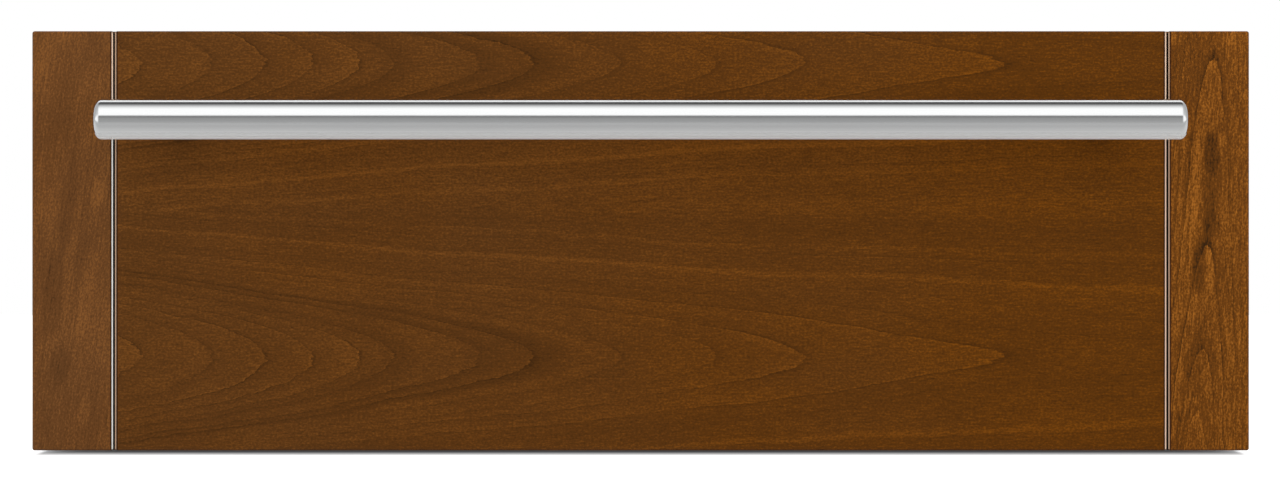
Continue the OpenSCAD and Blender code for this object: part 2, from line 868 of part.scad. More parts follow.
// Rivets that hold the inner rails to the box's sides, and its front wall to the liner.
module drawer_box_rivets() placed() color("silver") {
    wall = box_w / 2 - sheet;
    tail = box_w / 2 + runner_sheet;
    for (s = [LEFT, RIGHT]) {
        for (y = rail_screw_ys) {
            on_side(s) {
                rod_x(y, rail_z, rivet_head_r, wall - rivet_head_t, wall);
                rod_x(y, rail_z, rivet_r, wall, tail);
                rod_x(y, rail_z, rivet_head_r - 0.5, tail, tail + rivet_head_t);
            }
        }
    }
    for (x = box_screw_xs) {
        rod_y(x, box_front_z, rivet_head_r, box_y0 + sheet, box_y0 + sheet + rivet_head_t);
        rod_y(x, box_front_z, rivet_r, shell_back, box_y0 + sheet);
        rod_y(x, box_front_z, rivet_head_r - 0.5, shell_back - rivet_head_t, shell_back);
    }
}

// A low rack of thick bearers on four feet, with thin wires across them.
module wire_rack() placed() color("silver") {
    thick = rack_wire_d / 2;
    thin = thick * 0.6;
    bearer_z = floor_top + rack_h - thick;
    wire_z = bearer_z + thick * 0.8;
    half_w = box_w / 2 - sheet - 14;
    y0 = box_y0 + sheet + 14;
    y1 = box_y1 - sheet - 14;
    wires = floor(2 * (half_w - 12) / rack_pitch);
    for (y = [y0 + 50, y1 - 50]) {
        rod_x(y, bearer_z, thick, -half_w, half_w);
        for (s = [LEFT, RIGHT]) {
            rod_z(s * (half_w - 30), y, thick * 0.9, floor_top, bearer_z);
        }
    }
    for (i = [0:wires]) {
        rod_y((i - wires / 2) * rack_pitch, wire_z, thin, y0, y1);
    }
}

// ---- runners ----

// Extrudes a runner section, drawn for the right-hand side, between two depths.
module runner(side, y0, y1) placed() on_side(side) translate([box_w / 2, 0, rail_z])
    along_y(y0, y1) children();

module outer_section() {
    half = runner_h / 2;
    translate([runner_t - runner_sheet, -half]) square([runner_sheet, runner_h]);
    both_rows() {
        translate([outer_ball.x, half - runner_sheet])
            square([runner_t - outer_ball.x, runner_sheet]);
        ring_slice(outer_ball, race_r, race_out, 90, outer_tip_angle);
    }
}

module middle_section() {
    translate([middle_web - runner_sheet / 2, -inner_ball.y]) square([runner_sheet, 2 * inner_ball.y]);
    both_rows() {
        ring_slice(inner_ball, race_r, race_out, 0, 90);
        ring_slice(inner_ball, race_r, race_out, 90, 180 - nest_angle);
        ring_slice(outer_ball, race_r, race_out, 270, 360 - nest_angle);
        ring_slice(outer_ball, race_r, race_out, middle_tip_angle, 270);
    }
}

module inner_section() {
    foot = inner_ball.x + race_mid * cos(inner_foot_angle);
    square_top = inner_flange + runner_sheet / 2;
    translate([0, -square_top]) square([runner_sheet, 2 * square_top]);
    both_rows() {
        translate([0, inner_flange - runner_sheet / 2]) square([foot, runner_sheet]);
        ring_slice(inner_ball, race_r, race_out, inner_foot_angle - 6, inner_tip_angle);
    }
}

// Countersunk holes through the outer rail's web, at its screws.
module outer_rail(side) {
    color("lightsteelblue") difference() {
        runner(side, rail_y0, rail_y1) outer_section();
        placed() on_side(side) for (y = rail_screw_ys) {
            translate([cavity_w / 2 - runner_sheet, y, rail_z]) rotate([0, 90, 0])
                cylinder(
                    r1 = rivet_r + runner_sheet + fastener_gap,
                    r2 = rivet_r + fastener_gap,
                    h = runner_sheet
                );
        }
    }
}

module left_outer_rail() outer_rail(LEFT);
module right_outer_rail() outer_rail(RIGHT);

module outer_rail_screws() placed() color("silver") {
    for (s = [LEFT, RIGHT]) {
        for (y = rail_screw_ys) {
            on_side(s) {
                translate([cavity_w / 2 - runner_sheet, y, rail_z]) rotate([0, 90, 0])
                    cylinder(r1 = rivet_r + runner_sheet, r2 = rivet_r, h = runner_sheet);
                rod_x(y, rail_z, rivet_r, cavity_w / 2, cavity_w / 2 + 7);
            }
        }
    }
}

module middle_rail(side) color("lightsteelblue") runner(side, rail_y0, rail_y1) middle_section();

module left_middle_rail() middle_rail(LEFT);
module right_middle_rail() middle_rail(RIGHT);

module inner_rail(side) color("lightsteelblue") difference() {
    runner(side, rail_y0, rail_y1) inner_section();
    placed() on_side(side) for (y = rail_screw_ys) {
        rod_x(y, rail_z, rivet_r + fastener_gap, box_w / 2 - 1, box_w / 2 + runner_sheet + 1);
    }
}

module left_inner_rail() inner_rail(LEFT);
module right_inner_rail() inner_rail(RIGHT);

// Puts a ball, or the pocket round it, at every place of both rows.
module at_balls(side, ball) placed() on_side(side) {
    for (row = [-1, 1]) {
        for (i = [0:ball_count - 1]) {
            translate([box_w / 2 + ball.x, ball_y0 + i * ball_pitch, rail_z + row * ball.y])
                children();
        }
    }
}

// The openings along the middle of a cage's web.
module cage_windows(side, web) placed() on_side(side) {
    for (k = [0.2, 0.5, 0.8]) {
        translate([box_w / 2 + web - 1, cage_y0 + k * cage_l - 25, rail_z - 9]) cube([2, 50, 18]);
    }
}

// A folded strip that keeps its balls apart between the outer and the middle rail.
module outer_cage(side) color("silver") {
    tip = outer_ball.x - 0.7;
    difference() {
        runner(side, cage_y0, cage_y0 + cage_l) {
            half = outer_cage_flange + cage_flange_t / 2;
            translate([outer_cage_web - cage_t / 2, -half]) square([cage_t, 2 * half]);
            both_rows() translate([tip, outer_cage_flange - cage_flange_t / 2])
                square([outer_cage_web - tip, cage_flange_t]);
        }
        at_balls(side, outer_ball) sphere(pocket_r);
        cage_windows(side, outer_cage_web);
    }
    at_balls(side, outer_ball) sphere(ball_r);
}

// A flat strip that keeps its balls apart between the middle and the inner rail.
module inner_cage(side) color("silver") {
    top = inner_ball.y + 0.5;
    difference() {
        runner(side, cage_y0, cage_y0 + cage_l)
            translate([inner_cage_web - cage_t / 2, -top]) square([cage_t, 2 * top]);
        at_balls(side, inner_ball) sphere(pocket_r);
        cage_windows(side, inner_cage_web);
    }
    at_balls(side, inner_ball) sphere(ball_r);
}

module left_outer_cage() outer_cage(LEFT);
module right_outer_cage() outer_cage(RIGHT);
module left_inner_cage() inner_cage(LEFT);
module right_inner_cage() inner_cage(RIGHT);

// ---- chassis ----

module face_frame() placed() color("lightgray") difference() {
    union() {
        along_y(-frame_t, 0) difference() {
            round_rect([frame_w, frame_h], 3, [0, chassis_zm]);
            translate([-cavity_w / 2, cavity_z0]) square([cavity_w, cavity_z1 - cavity_z0]);
        }
        for (s = [LEFT, RIGHT]) {
            on_side(s) span(
                [side_in - sheet, 0, chassis_z0 + fold_h + 2],
                [side_in, tab_d, chassis_z1 - fold_h - 2]
            );
        }
        span([-fold_in + 1, 0, chassis_z0 + sheet], [fold_in - 1, tab_d, chassis_z0 + 2 * sheet]);
        span([-fold_in + 1, 0, chassis_z1 - 2 * sheet], [fold_in - 1, tab_d, chassis_z1 - sheet]);
    }
    for (s = [LEFT, RIGHT]) {
        for (t = [-1, 1]) {
            rod_y(
                s * frame_hole_x, chassis_zm + t * frame_hole_pitch / 2,
                frame_hole_d / 2, -frame_t - 1, 1
            );
        }
    }
    side_screw_sites() rod_z(0, 0, sheet_hole_r, -4, 4);
}

// Draws its child at every side screw, turned so that its Z runs inwards from the panel's face.
module side_screw_sites() {
    rows = concat(
        [for (y = side_screw_ys) for (z = [chassis_z0 + fold_h / 2 + 1, chassis_z1 - fold_h / 2 - 1]) [y, z]],
        [for (y = [tab_d / 2, chassis_d - tab_d / 2]) for (z = side_tab_zs) [y, z]]
    );
    for (s = [LEFT, RIGHT]) {
        for (p = rows) {
            on_side(s) translate([chassis_w / 2, p.x, p.y]) rotate([0, -90, 0]) children();
        }
    }
}

// A flat sheet with its two long edges folded, turned up for the base or down for the cover.
module folded_sheet(z0, turn) {
    fold_z = turn > 0 ? z0 : z0 + sheet - fold_h;
    span([-side_in, 0, z0], [side_in, chassis_d, z0 + sheet]);
    for (s = [LEFT, RIGHT]) {
        on_side(s) span([fold_in, 0, fold_z], [side_in, chassis_d - sheet, fold_z + fold_h]);
    }
}

// A folded sheet with beads pressed outwards along its depth.
module beaded_sheet(z0, turn, bead_xs) {
    outside = turn > 0 ? z0 : z0 + sheet;
    inside = turn > 0 ? z0 + sheet : z0;
    length = blanket_back - 2 * bead_margin;
    difference() {
        union() {
            folded_sheet(z0, turn);
            for (x = bead_xs) {
                translate([x, blanket_back / 2, outside]) mirror([0, 0, turn > 0 ? 1 : 0])
                    bead(length, bead_w, bead_rise, sheet / 2);
            }
        }
        for (x = bead_xs) {
            translate([x, blanket_back / 2, inside]) mirror([0, 0, turn > 0 ? 1 : 0])
                bead(length - sheet, bead_w - sheet, bead_rise, sheet);
        }
    }
}

foot_sites = [
    for (x = [-1, 1]) for (y = [45, chassis_d - 45]) [x * (chassis_w / 2 - 32), y]
];
foot_stem_r = 4;
foot_stem_h = sheet + 3;

// Room in the blankets round the feet's stems.
module foot_stem_pockets() {
    for (p = foot_sites) {
        rod_z(p.x, p.y, foot_stem_r + 2, chassis_z0, chassis_z0 + foot_stem_h + 2);
    }
}

module base_pan() placed() color("lightgray") difference() {
    beaded_sheet(chassis_z0, 1, base_bead_xs);
    for (p = foot_sites) {
        rod_z(p.x, p.y, foot_stem_r + 0.1, chassis_z0 - 1, chassis_z0 + sheet + 1);
    }
    side_screw_sites() rod_z(0, 0, sheet_hole_r, -4, 4);
}

module top_cover() placed() color("lightgray") difference() {
    beaded_sheet(chassis_z1 - sheet, -1, top_bead_xs);
    side_screw_sites() rod_z(0, 0, sheet_hole_r, -4, 4);
}

// Slots in the right-hand side panel that let air into the rear bay.
module air_slots() {
    y0 = blanket_back + 10;
    y1 = chassis_d - tab_d - 6;
    for (i = [0:air_slot_rows - 1]) {
        along_x(side_in - 1, chassis_w / 2 + 1)
            translate([(y0 + y1) / 2, chassis_zm + (i - (air_slot_rows - 1) / 2) * air_slot_pitch])
                slot_outline(y1 - y0, air_slot_h);
    }
}

module side_panel(side) placed() color("lightgray") difference() {
    on_side(side) span([side_in, 0, chassis_z0], [chassis_w / 2, chassis_d, chassis_z1]);
    on_side(side) air_slots();
    side_screw_sites() rod_z(0, 0, sheet_hole_r, -4, 4);
}

module left_side_panel() side_panel(LEFT);
module right_side_panel() side_panel(RIGHT);

// Draws its child at the lower left corner of every louvre, on the rear panel's outer face.
module louvre_sites() {
    for (i = [0:3]) {
        for (j = [0:louvre_rows - 1]) {
            translate([
                louvre_x0 + i * louvre_pitch.x,
                chassis_d,
                chassis_zm + (j - (louvre_rows - 1) / 2) * louvre_pitch.y
            ]) children();
        }
    }
}

// The hood over a louvre, pressed outwards and open below.
module louvre_hood() along_x(-hood_wall, louvre_w + hood_wall) polygon([
    [-sheet / 2, 0], [-sheet / 2, louvre_h + 1.2], [0, louvre_h + 1.2],
    [grommet_lip, hood_wall], [grommet_lip, 0]
]);

module louvre_cut() along_x(0, louvre_w) polygon([
    [-sheet - 1, 0], [-sheet - 1, louvre_h], [0, louvre_h],
    [grommet_lip - hood_wall, hood_wall], [grommet_lip - hood_wall, -1], [0, -1], [0, 0]
]);

module rear_panel() placed() color("lightgray") difference() {
    union() {
        louvre_sites() louvre_hood();
        span([-side_in, chassis_d - sheet, chassis_z0 + sheet], [side_in, chassis_d, chassis_z1 - sheet]);
        for (s = [LEFT, RIGHT]) {
            on_side(s) span(
                [side_in - sheet, chassis_d - tab_d, chassis_z0 + fold_h + 2],
                [side_in, chassis_d - sheet, chassis_z1 - fold_h - 2]
            );
        }
    }
    louvre_sites() louvre_cut();
    rod_y(grommet_x, grommet_z, grommet_neck_r + fastener_gap, chassis_d - sheet - 1, chassis_d + 1);
    side_screw_sites() rod_z(0, 0, sheet_hole_r, -4, 4);
}

module chassis_screws() placed() color("silver") side_screw_sites() {
    rod_z(0, 0, pan_head_r, -pan_head_t, 0);
    rod_z(0, 0, sheet_screw_r, 0, sheet_screw_l);
}

module glide_feet() placed() color("dimgray") {
    for (p = foot_sites) {
        translate([p.x, p.y, 0]) rotate_extrude() difference() {
            union() {
                polygon([
                    [0, 0], [foot_d / 2 - 3, 0], [foot_d / 2, 3], [foot_d / 2, 5],
                    [foot_d / 2 - 4, foot_h], [0, foot_h]
                ]);
                translate([0, foot_h]) square([foot_stem_r, foot_stem_h]);
            }
            square([foot_d / 2 - 8, 2]);
        }
    }
}

// ---- cavity ----

wall_out = cavity_w / 2 + sheet;
cavity_end = cavity_d + sheet;

module cavity_floor() placed() color("silver")
    span([-wall_out, 0, cavity_z0 - sheet], [wall_out, cavity_end, cavity_z0]);

module cavity_roof() placed() color("silver")
    span([-wall_out, 0, cavity_z1], [wall_out, cavity_end, cavity_z1 + sheet]);

module cavity_wall(side) placed() color("silver") on_side(side) difference() {
    span([cavity_w / 2, 0, cavity_z0], [wall_out, cavity_end, cavity_z1]);
    for (y = rail_screw_ys) {
        rod_x(y, rail_z, rivet_r + fastener_gap, cavity_w / 2 - 1, wall_out + 1);
    }
}

module cavity_left_wall() cavity_wall(LEFT);
module cavity_right_wall() cavity_wall(RIGHT);

module cavity_back() placed() color("silver") difference() {
    span([-cavity_w / 2, cavity_d, cavity_z0], [cavity_w / 2, cavity_end, cavity_z1]);
    element_ends(element_hole_r, cavity_d - 1, cavity_end + 1);
    rod_y(sensor_x, sensor_z, sensor_r + fastener_gap, cavity_d - 1, cavity_end + 1);
}

module insulation_blankets() placed() color("khaki") {
    g = blanket_gap;
    low = chassis_z0 + sheet + g;
    high = chassis_z1 - sheet - g;
    end = cavity_end;
    difference() {
        union() {
            for (s = [LEFT, RIGHT]) {
                on_side(s) span([wall_out + g, blanket_start, low], [fold_in - g, end, high]);
            }
        }
        side_screw_sites() rod_z(0, 0, 3, 0, sheet_screw_l + 2);
        foot_stem_pockets();
        for (s = [LEFT, RIGHT]) {
            for (y = rail_screw_ys) {
                on_side(s) rod_x(y, rail_z, 3, wall_out, wall_out + 9);
            }
        }
    }
    difference() {
        span([-wall_out, blanket_start, low], [wall_out, end, cavity_z0 - sheet - g]);
        foot_stem_pockets();
    }
    span([-wall_out, blanket_start, cavity_z1 + sheet + g], [wall_out, end, high]);
    difference() {
        span([-fold_in + g, end + g, low], [fold_in - g, blanket_back, high]);
        foot_stem_pockets();
        element_ends(element_r + 3, end - 1, blanket_back + 1);
        rod_y(sensor_x, sensor_z, sensor_r + 2, end - 1, blanket_back + 1);
        rod_y(thermostat_x, thermostat_z, thermostat_r + 6, end - 1, blanket_back + 1);
    }
}

// ---- heater and sensing ----

function leg_x(i) = (i - (element_legs - 1) / 2) * element_pitch;

// The element's two straight ends, from one depth to another.
module element_ends(r, y0, y1) {
    for (i = [0, element_legs - 1]) {
        rod_y(leg_x(i), element_z, r, y0, y1);
    }
}

// One half-turn of the element, towards the front or the back.
module element_bend(i, y, front) translate([(leg_x(i) + leg_x(i + 1)) / 2, y, element_z])
    rotate([0, 0, front ? 180 : 0]) rotate_extrude(angle = 180)
        translate([element_pitch / 2, 0]) circle(element_r);

module heating_element() placed() color("dimgray") {
    for (i = [0:element_legs - 1]) {
        rod_y(leg_x(i), element_z, element_r, element_y0, element_y1);
    }
    for (i = [0:2:element_legs - 2]) {
        element_bend(i, element_y0, true);
    }
    for (i = [1:2:element_legs - 3]) {
        element_bend(i, element_y1, false);
    }
    element_ends(element_r, element_y1, cavity_end + 6);
    element_ends(1.5, cavity_end + 6, cavity_end + element_tail);
}

module element_brackets() placed() color("silver") {
    reach = leg_x(element_legs - 1) + 16;
    for (y = bracket_ys) {
        difference() {
            union() {
                span([-reach, y, cavity_z0], [reach, y + bracket_t, element_z + 2]);
                span([-reach, y, cavity_z0], [reach, y + bracket_foot, cavity_z0 + bracket_t]);
            }
            for (i = [0:element_legs - 1]) {
                rod_y(leg_x(i), element_z, element_r + 0.1, y - 1, y + bracket_t + 1);
                span(
                    [leg_x(i) - element_r - 0.1, y - 1, element_z],
                    [leg_x(i) + element_r + 0.1, y + bracket_t + 1, element_z + 4]
                );
            }
        }
    }
}

module temperature_sensor() placed() color("silver") {
    rod_y(sensor_x, sensor_z, sensor_r, cavity_d - sensor_l, cavity_end + 12);
    rod_y(sensor_x, sensor_z, sensor_flange_r, cavity_d - 1.5, cavity_d);
}

module limit_thermostat() placed() color("black") {
    rod_y(thermostat_x, thermostat_z, thermostat_r, cavity_end, cavity_end + 8);
    for (s = [-1, 1]) {
        span(
            [thermostat_x + s * 5 - 0.4, cavity_end + 8, thermostat_z - 3],
            [thermostat_x + s * 5 + 0.4, cavity_end + 16, thermostat_z + 3]
        );
    }
}

// ---- rear bay ----

// A part that stands on the board's front, its middle at an offset from the board's middle.
module on_board(x, z, size)
    translate([board_x + x, board_y - board_t - size.y / 2, chassis_zm + z]) cube(size, center = true);

// The power board with its transformer, relays and capacitors soldered on.
module power_board() placed() color("darkgreen") difference() {
    union() {
        translate([board_x, board_y - board_t / 2, chassis_zm])
            cube([board_w, board_t, board_h], center = true);
        on_board(-board_w / 4, -board_h / 6, transformer);
        for (i = [0, 1]) {
            on_board(board_w / 8 + i * relay_pitch, -board_h / 4.5, relay);
            rod_y(
                board_x + board_w / 12 + i * capacitor_pitch, chassis_zm + board_h / 4.5,
                capacitor_r, board_y - board_t - capacitor_l, board_y - board_t
            );
        }
    }
    at_standoffs() rod_y(0, 0, standoff_neck_r + fastener_gap, board_y - board_t - 1, board_y + 1);
}

// Draws its child at each of the board's four corners.
module at_standoffs() {
    for (sx = [-1, 1]) {
        for (sz = [-1, 1]) {
            translate([
                board_x + sx * (board_w / 2 - board_edge), 0, chassis_zm + sz * (board_h / 2 - board_edge)
            ])
                children();
        }
    }
}

// Round spacers between the board and the rear panel, with snap heads.
module board_standoffs() placed() color("white") at_standoffs() {
    rod_y(0, 0, standoff_r, board_y, chassis_d - sheet);
    rod_y(0, 0, standoff_neck_r, board_y - board_t - standoff_head_t, board_y);
    rod_y(0, 0, standoff_head_r, board_y - board_t - standoff_head_t, board_y - board_t - standoff_snap);
}

// Three screw terminals in one block on the base.
module terminal_block() placed() color("ivory") {
    floor_z = chassis_z0 + sheet;
    difference() {
        translate([terminal_x, terminal_y, floor_z]) cube(terminal_size);
        for (i = [0:2]) {
            rod_z(
                terminal_x + terminal_size.x * (i + 0.5) / 3, terminal_y + terminal_size.y / 2,
                terminal_bore_r, floor_z + terminal_size.z - 6, floor_z + terminal_size.z + 1
            );
        }
    }
}

// A bush that grips the rear panel's hole and guards the supply lead.
module supply_grommet() placed() color("black")
    translate([grommet_x, chassis_d + grommet_lip, grommet_z]) rotate([90, 0, 0])
        rotate_extrude() difference() {
            translate([grommet_bore_r, 0])
                square([grommet_lip_r - grommet_bore_r, 2 * grommet_lip + sheet]);
            translate([grommet_neck_r, grommet_lip]) square([grommet_lip_r, sheet]);
        }

left_stile();
centre_panel();
right_stile();
left_inlay();
right_inlay();
handle_bar();
handle_caps();
handle_posts();
handle_screws();
panel_screws();
door_shell();
door_liner();
door_insulation();
door_gasket();
control_housing();
control_board();
indicator_lenses();
power_button();
proof_button();
low_button();
medium_button();
high_button();
vent_guides();
vent_shutter();
drawer_box();
drawer_box_rivets();
wire_rack();
left_outer_rail();
right_outer_rail();
left_middle_rail();
right_middle_rail();
left_inner_rail();
right_inner_rail();
left_outer_cage();
right_outer_cage();
left_inner_cage();
right_inner_cage();
outer_rail_screws();
face_frame();
base_pan();
left_side_panel();
right_side_panel();
top_cover();
rear_panel();
chassis_screws();
glide_feet();
cavity_floor();
cavity_left_wall();
cavity_right_wall();
cavity_roof();
cavity_back();
insulation_blankets();
heating_element();
element_brackets();
temperature_sensor();
limit_thermostat();
power_board();
board_standoffs();
terminal_block();
supply_grommet();
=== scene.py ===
import logging
import math
from dataclasses import dataclass, field
from enum import Enum
from typing import Callable, ClassVar, Iterable

import bmesh
import bpy
import numpy as np
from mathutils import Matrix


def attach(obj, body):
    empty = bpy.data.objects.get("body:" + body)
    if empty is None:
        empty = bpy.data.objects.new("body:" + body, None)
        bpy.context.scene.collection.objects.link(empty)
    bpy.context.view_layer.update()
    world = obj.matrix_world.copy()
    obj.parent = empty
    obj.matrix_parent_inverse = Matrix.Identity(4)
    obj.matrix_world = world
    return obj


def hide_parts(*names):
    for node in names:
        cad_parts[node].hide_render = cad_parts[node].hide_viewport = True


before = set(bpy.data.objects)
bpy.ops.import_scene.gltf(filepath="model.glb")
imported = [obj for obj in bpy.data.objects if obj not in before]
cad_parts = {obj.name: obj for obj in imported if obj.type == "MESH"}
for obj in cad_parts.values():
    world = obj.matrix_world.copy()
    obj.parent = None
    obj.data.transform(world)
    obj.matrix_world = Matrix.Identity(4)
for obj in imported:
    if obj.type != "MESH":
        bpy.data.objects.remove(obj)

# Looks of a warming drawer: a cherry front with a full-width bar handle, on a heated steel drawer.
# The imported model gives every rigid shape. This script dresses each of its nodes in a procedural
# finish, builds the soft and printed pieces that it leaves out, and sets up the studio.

LOG = logging.getLogger("warming_drawer")
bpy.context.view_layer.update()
MM = 0.001
WOOD_FACE = -292.5  # where the wooden front's face stands, along y, in millimetres
INLAY_AT = 327.0  # the inlays' middles, to both sides along x
BAR_AXIS = 207.4  # the height of the handle's axis
RING_LEAD = 0.9  # how far inside its line a ring's own strength starts
TABLE_POINTS = 33

Pair = tuple[float, float]
Number = "Signal | float"
Surface = tuple[np.ndarray, np.ndarray]  # points, and four indices a face
Stops = list[tuple[float, tuple | float]]  # places from 0 to 1, and a colour or a grey at each


# ---- shader maths ----


def operator(operation: str) -> Callable[["Signal", Number], "Signal"]:
    """A method of a signal that adds a Math node of one operation."""
    return lambda signal, other: signal.math(operation, other)


class Signal:
    """An output socket of a node. Arithmetic on it adds Math nodes to its tree."""

    __add__ = __radd__ = operator("ADD")
    __mul__ = __rmul__ = operator("MULTIPLY")
    __sub__ = operator("SUBTRACT")
    __truediv__ = operator("DIVIDE")
    __pow__ = operator("POWER")

    def __init__(self, graph: "Graph", socket: bpy.types.NodeSocket) -> None:
        """Wraps one socket of a graph."""
        self.graph = graph
        self.socket = socket

    def math(self, operation: str, *others: Number) -> "Signal":
        """Adds a Math node with this signal as its first value, and up to two more values."""
        values = dict(enumerate((self, *others)))
        return self.graph.node("Math", {"operation": operation}, values)

    def __rsub__(self, other: float) -> "Signal":
        """The difference from a number."""
        return self.math("MULTIPLY_ADD", -1.0, other)

    def __abs__(self) -> "Signal":
        """The absolute value."""
        return self.math("ABSOLUTE")

    def above(self, edge: float, width: float) -> "Signal":
        """A smooth step that rises from 0 to 1 over a width, with its middle at an edge."""
        ends = {0: self, 1: edge - width / 2, 2: edge + width / 2, 3: 0.0, 4: 1.0}
        return self.graph.node("MapRange", {"interpolation_type": "SMOOTHSTEP"}, ends)

    def below(self, edge: float, width: float) -> "Signal":
        """A smooth step that falls from 1 to 0 over a width."""
        return 1.0 - self.above(edge, width)


Value = Signal | float | tuple


class Graph:
    """A node tree, and the few ways in which this file puts nodes into it."""

    def __init__(self, tree: bpy.types.NodeTree) -> None:
        """Empties a tree, to build in it."""
        tree.nodes.clear()
        self.tree = tree

    def node(
        self, kind: str, settings: dict | None = None, inputs: dict | None = None, output: int | str = 0
    ) -> Signal:
        """Adds one node of any kind.

        Args:
            kind: The node's type, without the ShaderNode in front.
            settings: Its own properties, set first. "stops" gives a ramp's mode and its stops.
            inputs: A value or a signal for each of the sockets named or numbered.
            output: The socket that is wanted.

        Returns:
            That output, or an empty signal where the node has none.
        """
        made = self.tree.nodes.new("ShaderNode" + kind)
        for key, value in (settings or {}).items():
            if key == "stops":
                self._fill(made.color_ramp, *value)
            else:
                setattr(made, key, value)
        for key, value in (inputs or {}).items():
            self.feed(made.inputs[key], value)
        return Signal(self, made.outputs[output] if made.outputs else None)

    def feed(self, socket: bpy.types.NodeSocket, value: Value) -> None:
        """Links a signal to a socket, or sets the socket's own value.

        Args:
            socket: The input.
            value: A signal, a number, or a tuple that is cut to the socket's length.
        """
        if isinstance(value, Signal):
            self.tree.links.new(value.socket, socket)
        elif isinstance(value, tuple):
            socket.default_value = value[: len(socket.default_value)]
        else:
            socket.default_value = value

    @staticmethod
    def _fill(ramp: bpy.types.ColorRamp, mode: str, stops: Stops) -> None:
        """Sets up a colour ramp.

        Args:
            ramp: The ramp, with the two stops of a new one.
            mode: How it goes from stop to stop.
            stops: What it is set to.
        """
        ramp.interpolation = mode
        while len(ramp.elements) < len(stops):
            ramp.elements.new(1.0)
        for element, (place, colour) in zip(ramp.elements, stops):
            element.position = place
            element.color = colour if isinstance(colour, tuple) else (colour, colour, colour, 1.0)

    def ramp(self, value: Signal, stops: Stops, mode: str = "LINEAR") -> Signal:
        """Looks a value up in a colour ramp."""
        return self.node("ValToRGB", {"stops": (mode, stops)}, {0: value})

    def mix(self, factor: Number, a: Value, b: Value) -> Signal:
        """Mixes two colours."""
        return self.node("Mix", {"data_type": "RGBA"}, {0: factor, 6: a, 7: b}, 2)

    def shade(self, colour: Value, gain: Signal) -> Signal:
        """Multiplies a colour by a number that varies over the surface."""
        return self.node("VectorMath", {"operation": "SCALE"}, {0: colour, 3: gain})

    def point(self) -> Signal:
        """The place on the piece, in millimetres in the part's own frame."""
        place = self.node("TexCoord", output="Object")
        return self.node("VectorMath", {"operation": "SCALE"}, {0: place, 3: 1000.0})

    def split(self, vector: Signal) -> tuple[Signal, Signal, Signal]:
        """The three parts of a vector."""
        parts = self.node("SeparateXYZ", None, {0: vector}).socket.node.outputs
        return tuple(Signal(self, part) for part in parts)

    def join(self, x: Number, y: Number, z: Number) -> Signal:
        """A vector of three numbers."""
        return self.node("CombineXYZ", None, {0: x, 1: y, 2: z})

    def scaled(self, vector: Signal, scale: float | tuple, shift: tuple = (0.0, 0.0, 0.0)) -> Signal:
        """A vector times a scale, which is one number or three, plus a shift."""
        by = scale if isinstance(scale, tuple) else (scale,) * 3
        return self.node("VectorMath", {"operation": "MULTIPLY_ADD"}, {0: vector, 1: by, 2: shift})

    def noise(
        self, vector: Signal, scale: float | tuple, detail: float = 2.0, roughness: float = 0.5,
        shift: tuple = (0.0, 0.0, 0.0),
    ) -> Signal:
        """Smooth noise round 0.5, with cells of size 1 once the place is scaled and shifted."""
        inputs = {"Scale": 1.0, "Detail": detail, "Roughness": roughness}
        return self.node("TexNoise", None, {"Vector": self.scaled(vector, scale, shift), **inputs})

    def swing(self, vector: Signal, scale: float | tuple, amount: float, *more: float | tuple) -> Signal:
        """Noise round 0, of about the given amount either way. What follows goes to the noise."""
        return (self.noise(vector, scale, *more) - 0.5) * (2.0 * amount)

    def cells(self, vector: Signal, scale: float, output: str = "Color") -> Signal:
        """Voronoi cells of size 1, once the place is scaled."""
        inputs = {"Vector": self.scaled(vector, scale), "Scale": 1.0}
        return self.node("TexVoronoi", None, inputs, output)

    def bump(self, height: Signal, distance: float) -> Signal:
        """A normal bent by a height from 0 to 1, which stands for a distance in metres."""
        return self.node("Bump", None, {"Distance": distance, "Height": height})

    def ray(self, kind: str) -> Signal:
        """1 for rays of one kind, and 0 for the others."""
        return self.node("LightPath", output=f"Is {kind} Ray")


def srgb(*parts: float) -> tuple[float, ...]:
    """The linear colour of a screen colour whose red, green and blue run from 0 to 255."""
    screen = np.array(parts) / 255.0
    return (*np.where(screen <= 0.04045, screen / 12.92, ((screen + 0.055) / 1.055) ** 2.4).tolist(), 1.0)


# ---- finishes ----


class Axis(Enum):
    """A direction along which a finish runs."""

    X = 0
    Y = 1
    Z = 2

    def stretch(self, across: float, along: float) -> tuple[float, ...]:
        """The scale of a pattern that is drawn out along this axis."""
        return tuple(along if i == self.value else across for i in range(3))


@dataclass(frozen=True)
class Finish:
    """A procedural material. Each kind of finish paints its own pattern.

    An edge in a pattern is a pair: its place, and the width over which it comes in, in millimetres.
    """

    made: ClassVar[dict[str, bpy.types.Material]] = {}
    name: str

    def paint(self, graph: Graph) -> dict[str, Value]:
        """Builds the pattern in a tree, and gives the shader's inputs by socket."""
        raise NotImplementedError

    def material(self) -> bpy.types.Material:
        """Makes the material at its first use.

        Returns:
            The material.
        """
        if self.name not in self.made:
            material = bpy.data.materials.new(self.name)
            material.use_nodes = True
            graph = Graph(material.node_tree)
            surface = graph.node("BsdfPrincipled", None, self.paint(graph))
            graph.node("OutputMaterial", None, {"Surface": surface})
            self.made[self.name] = material
        return self.made[self.name]


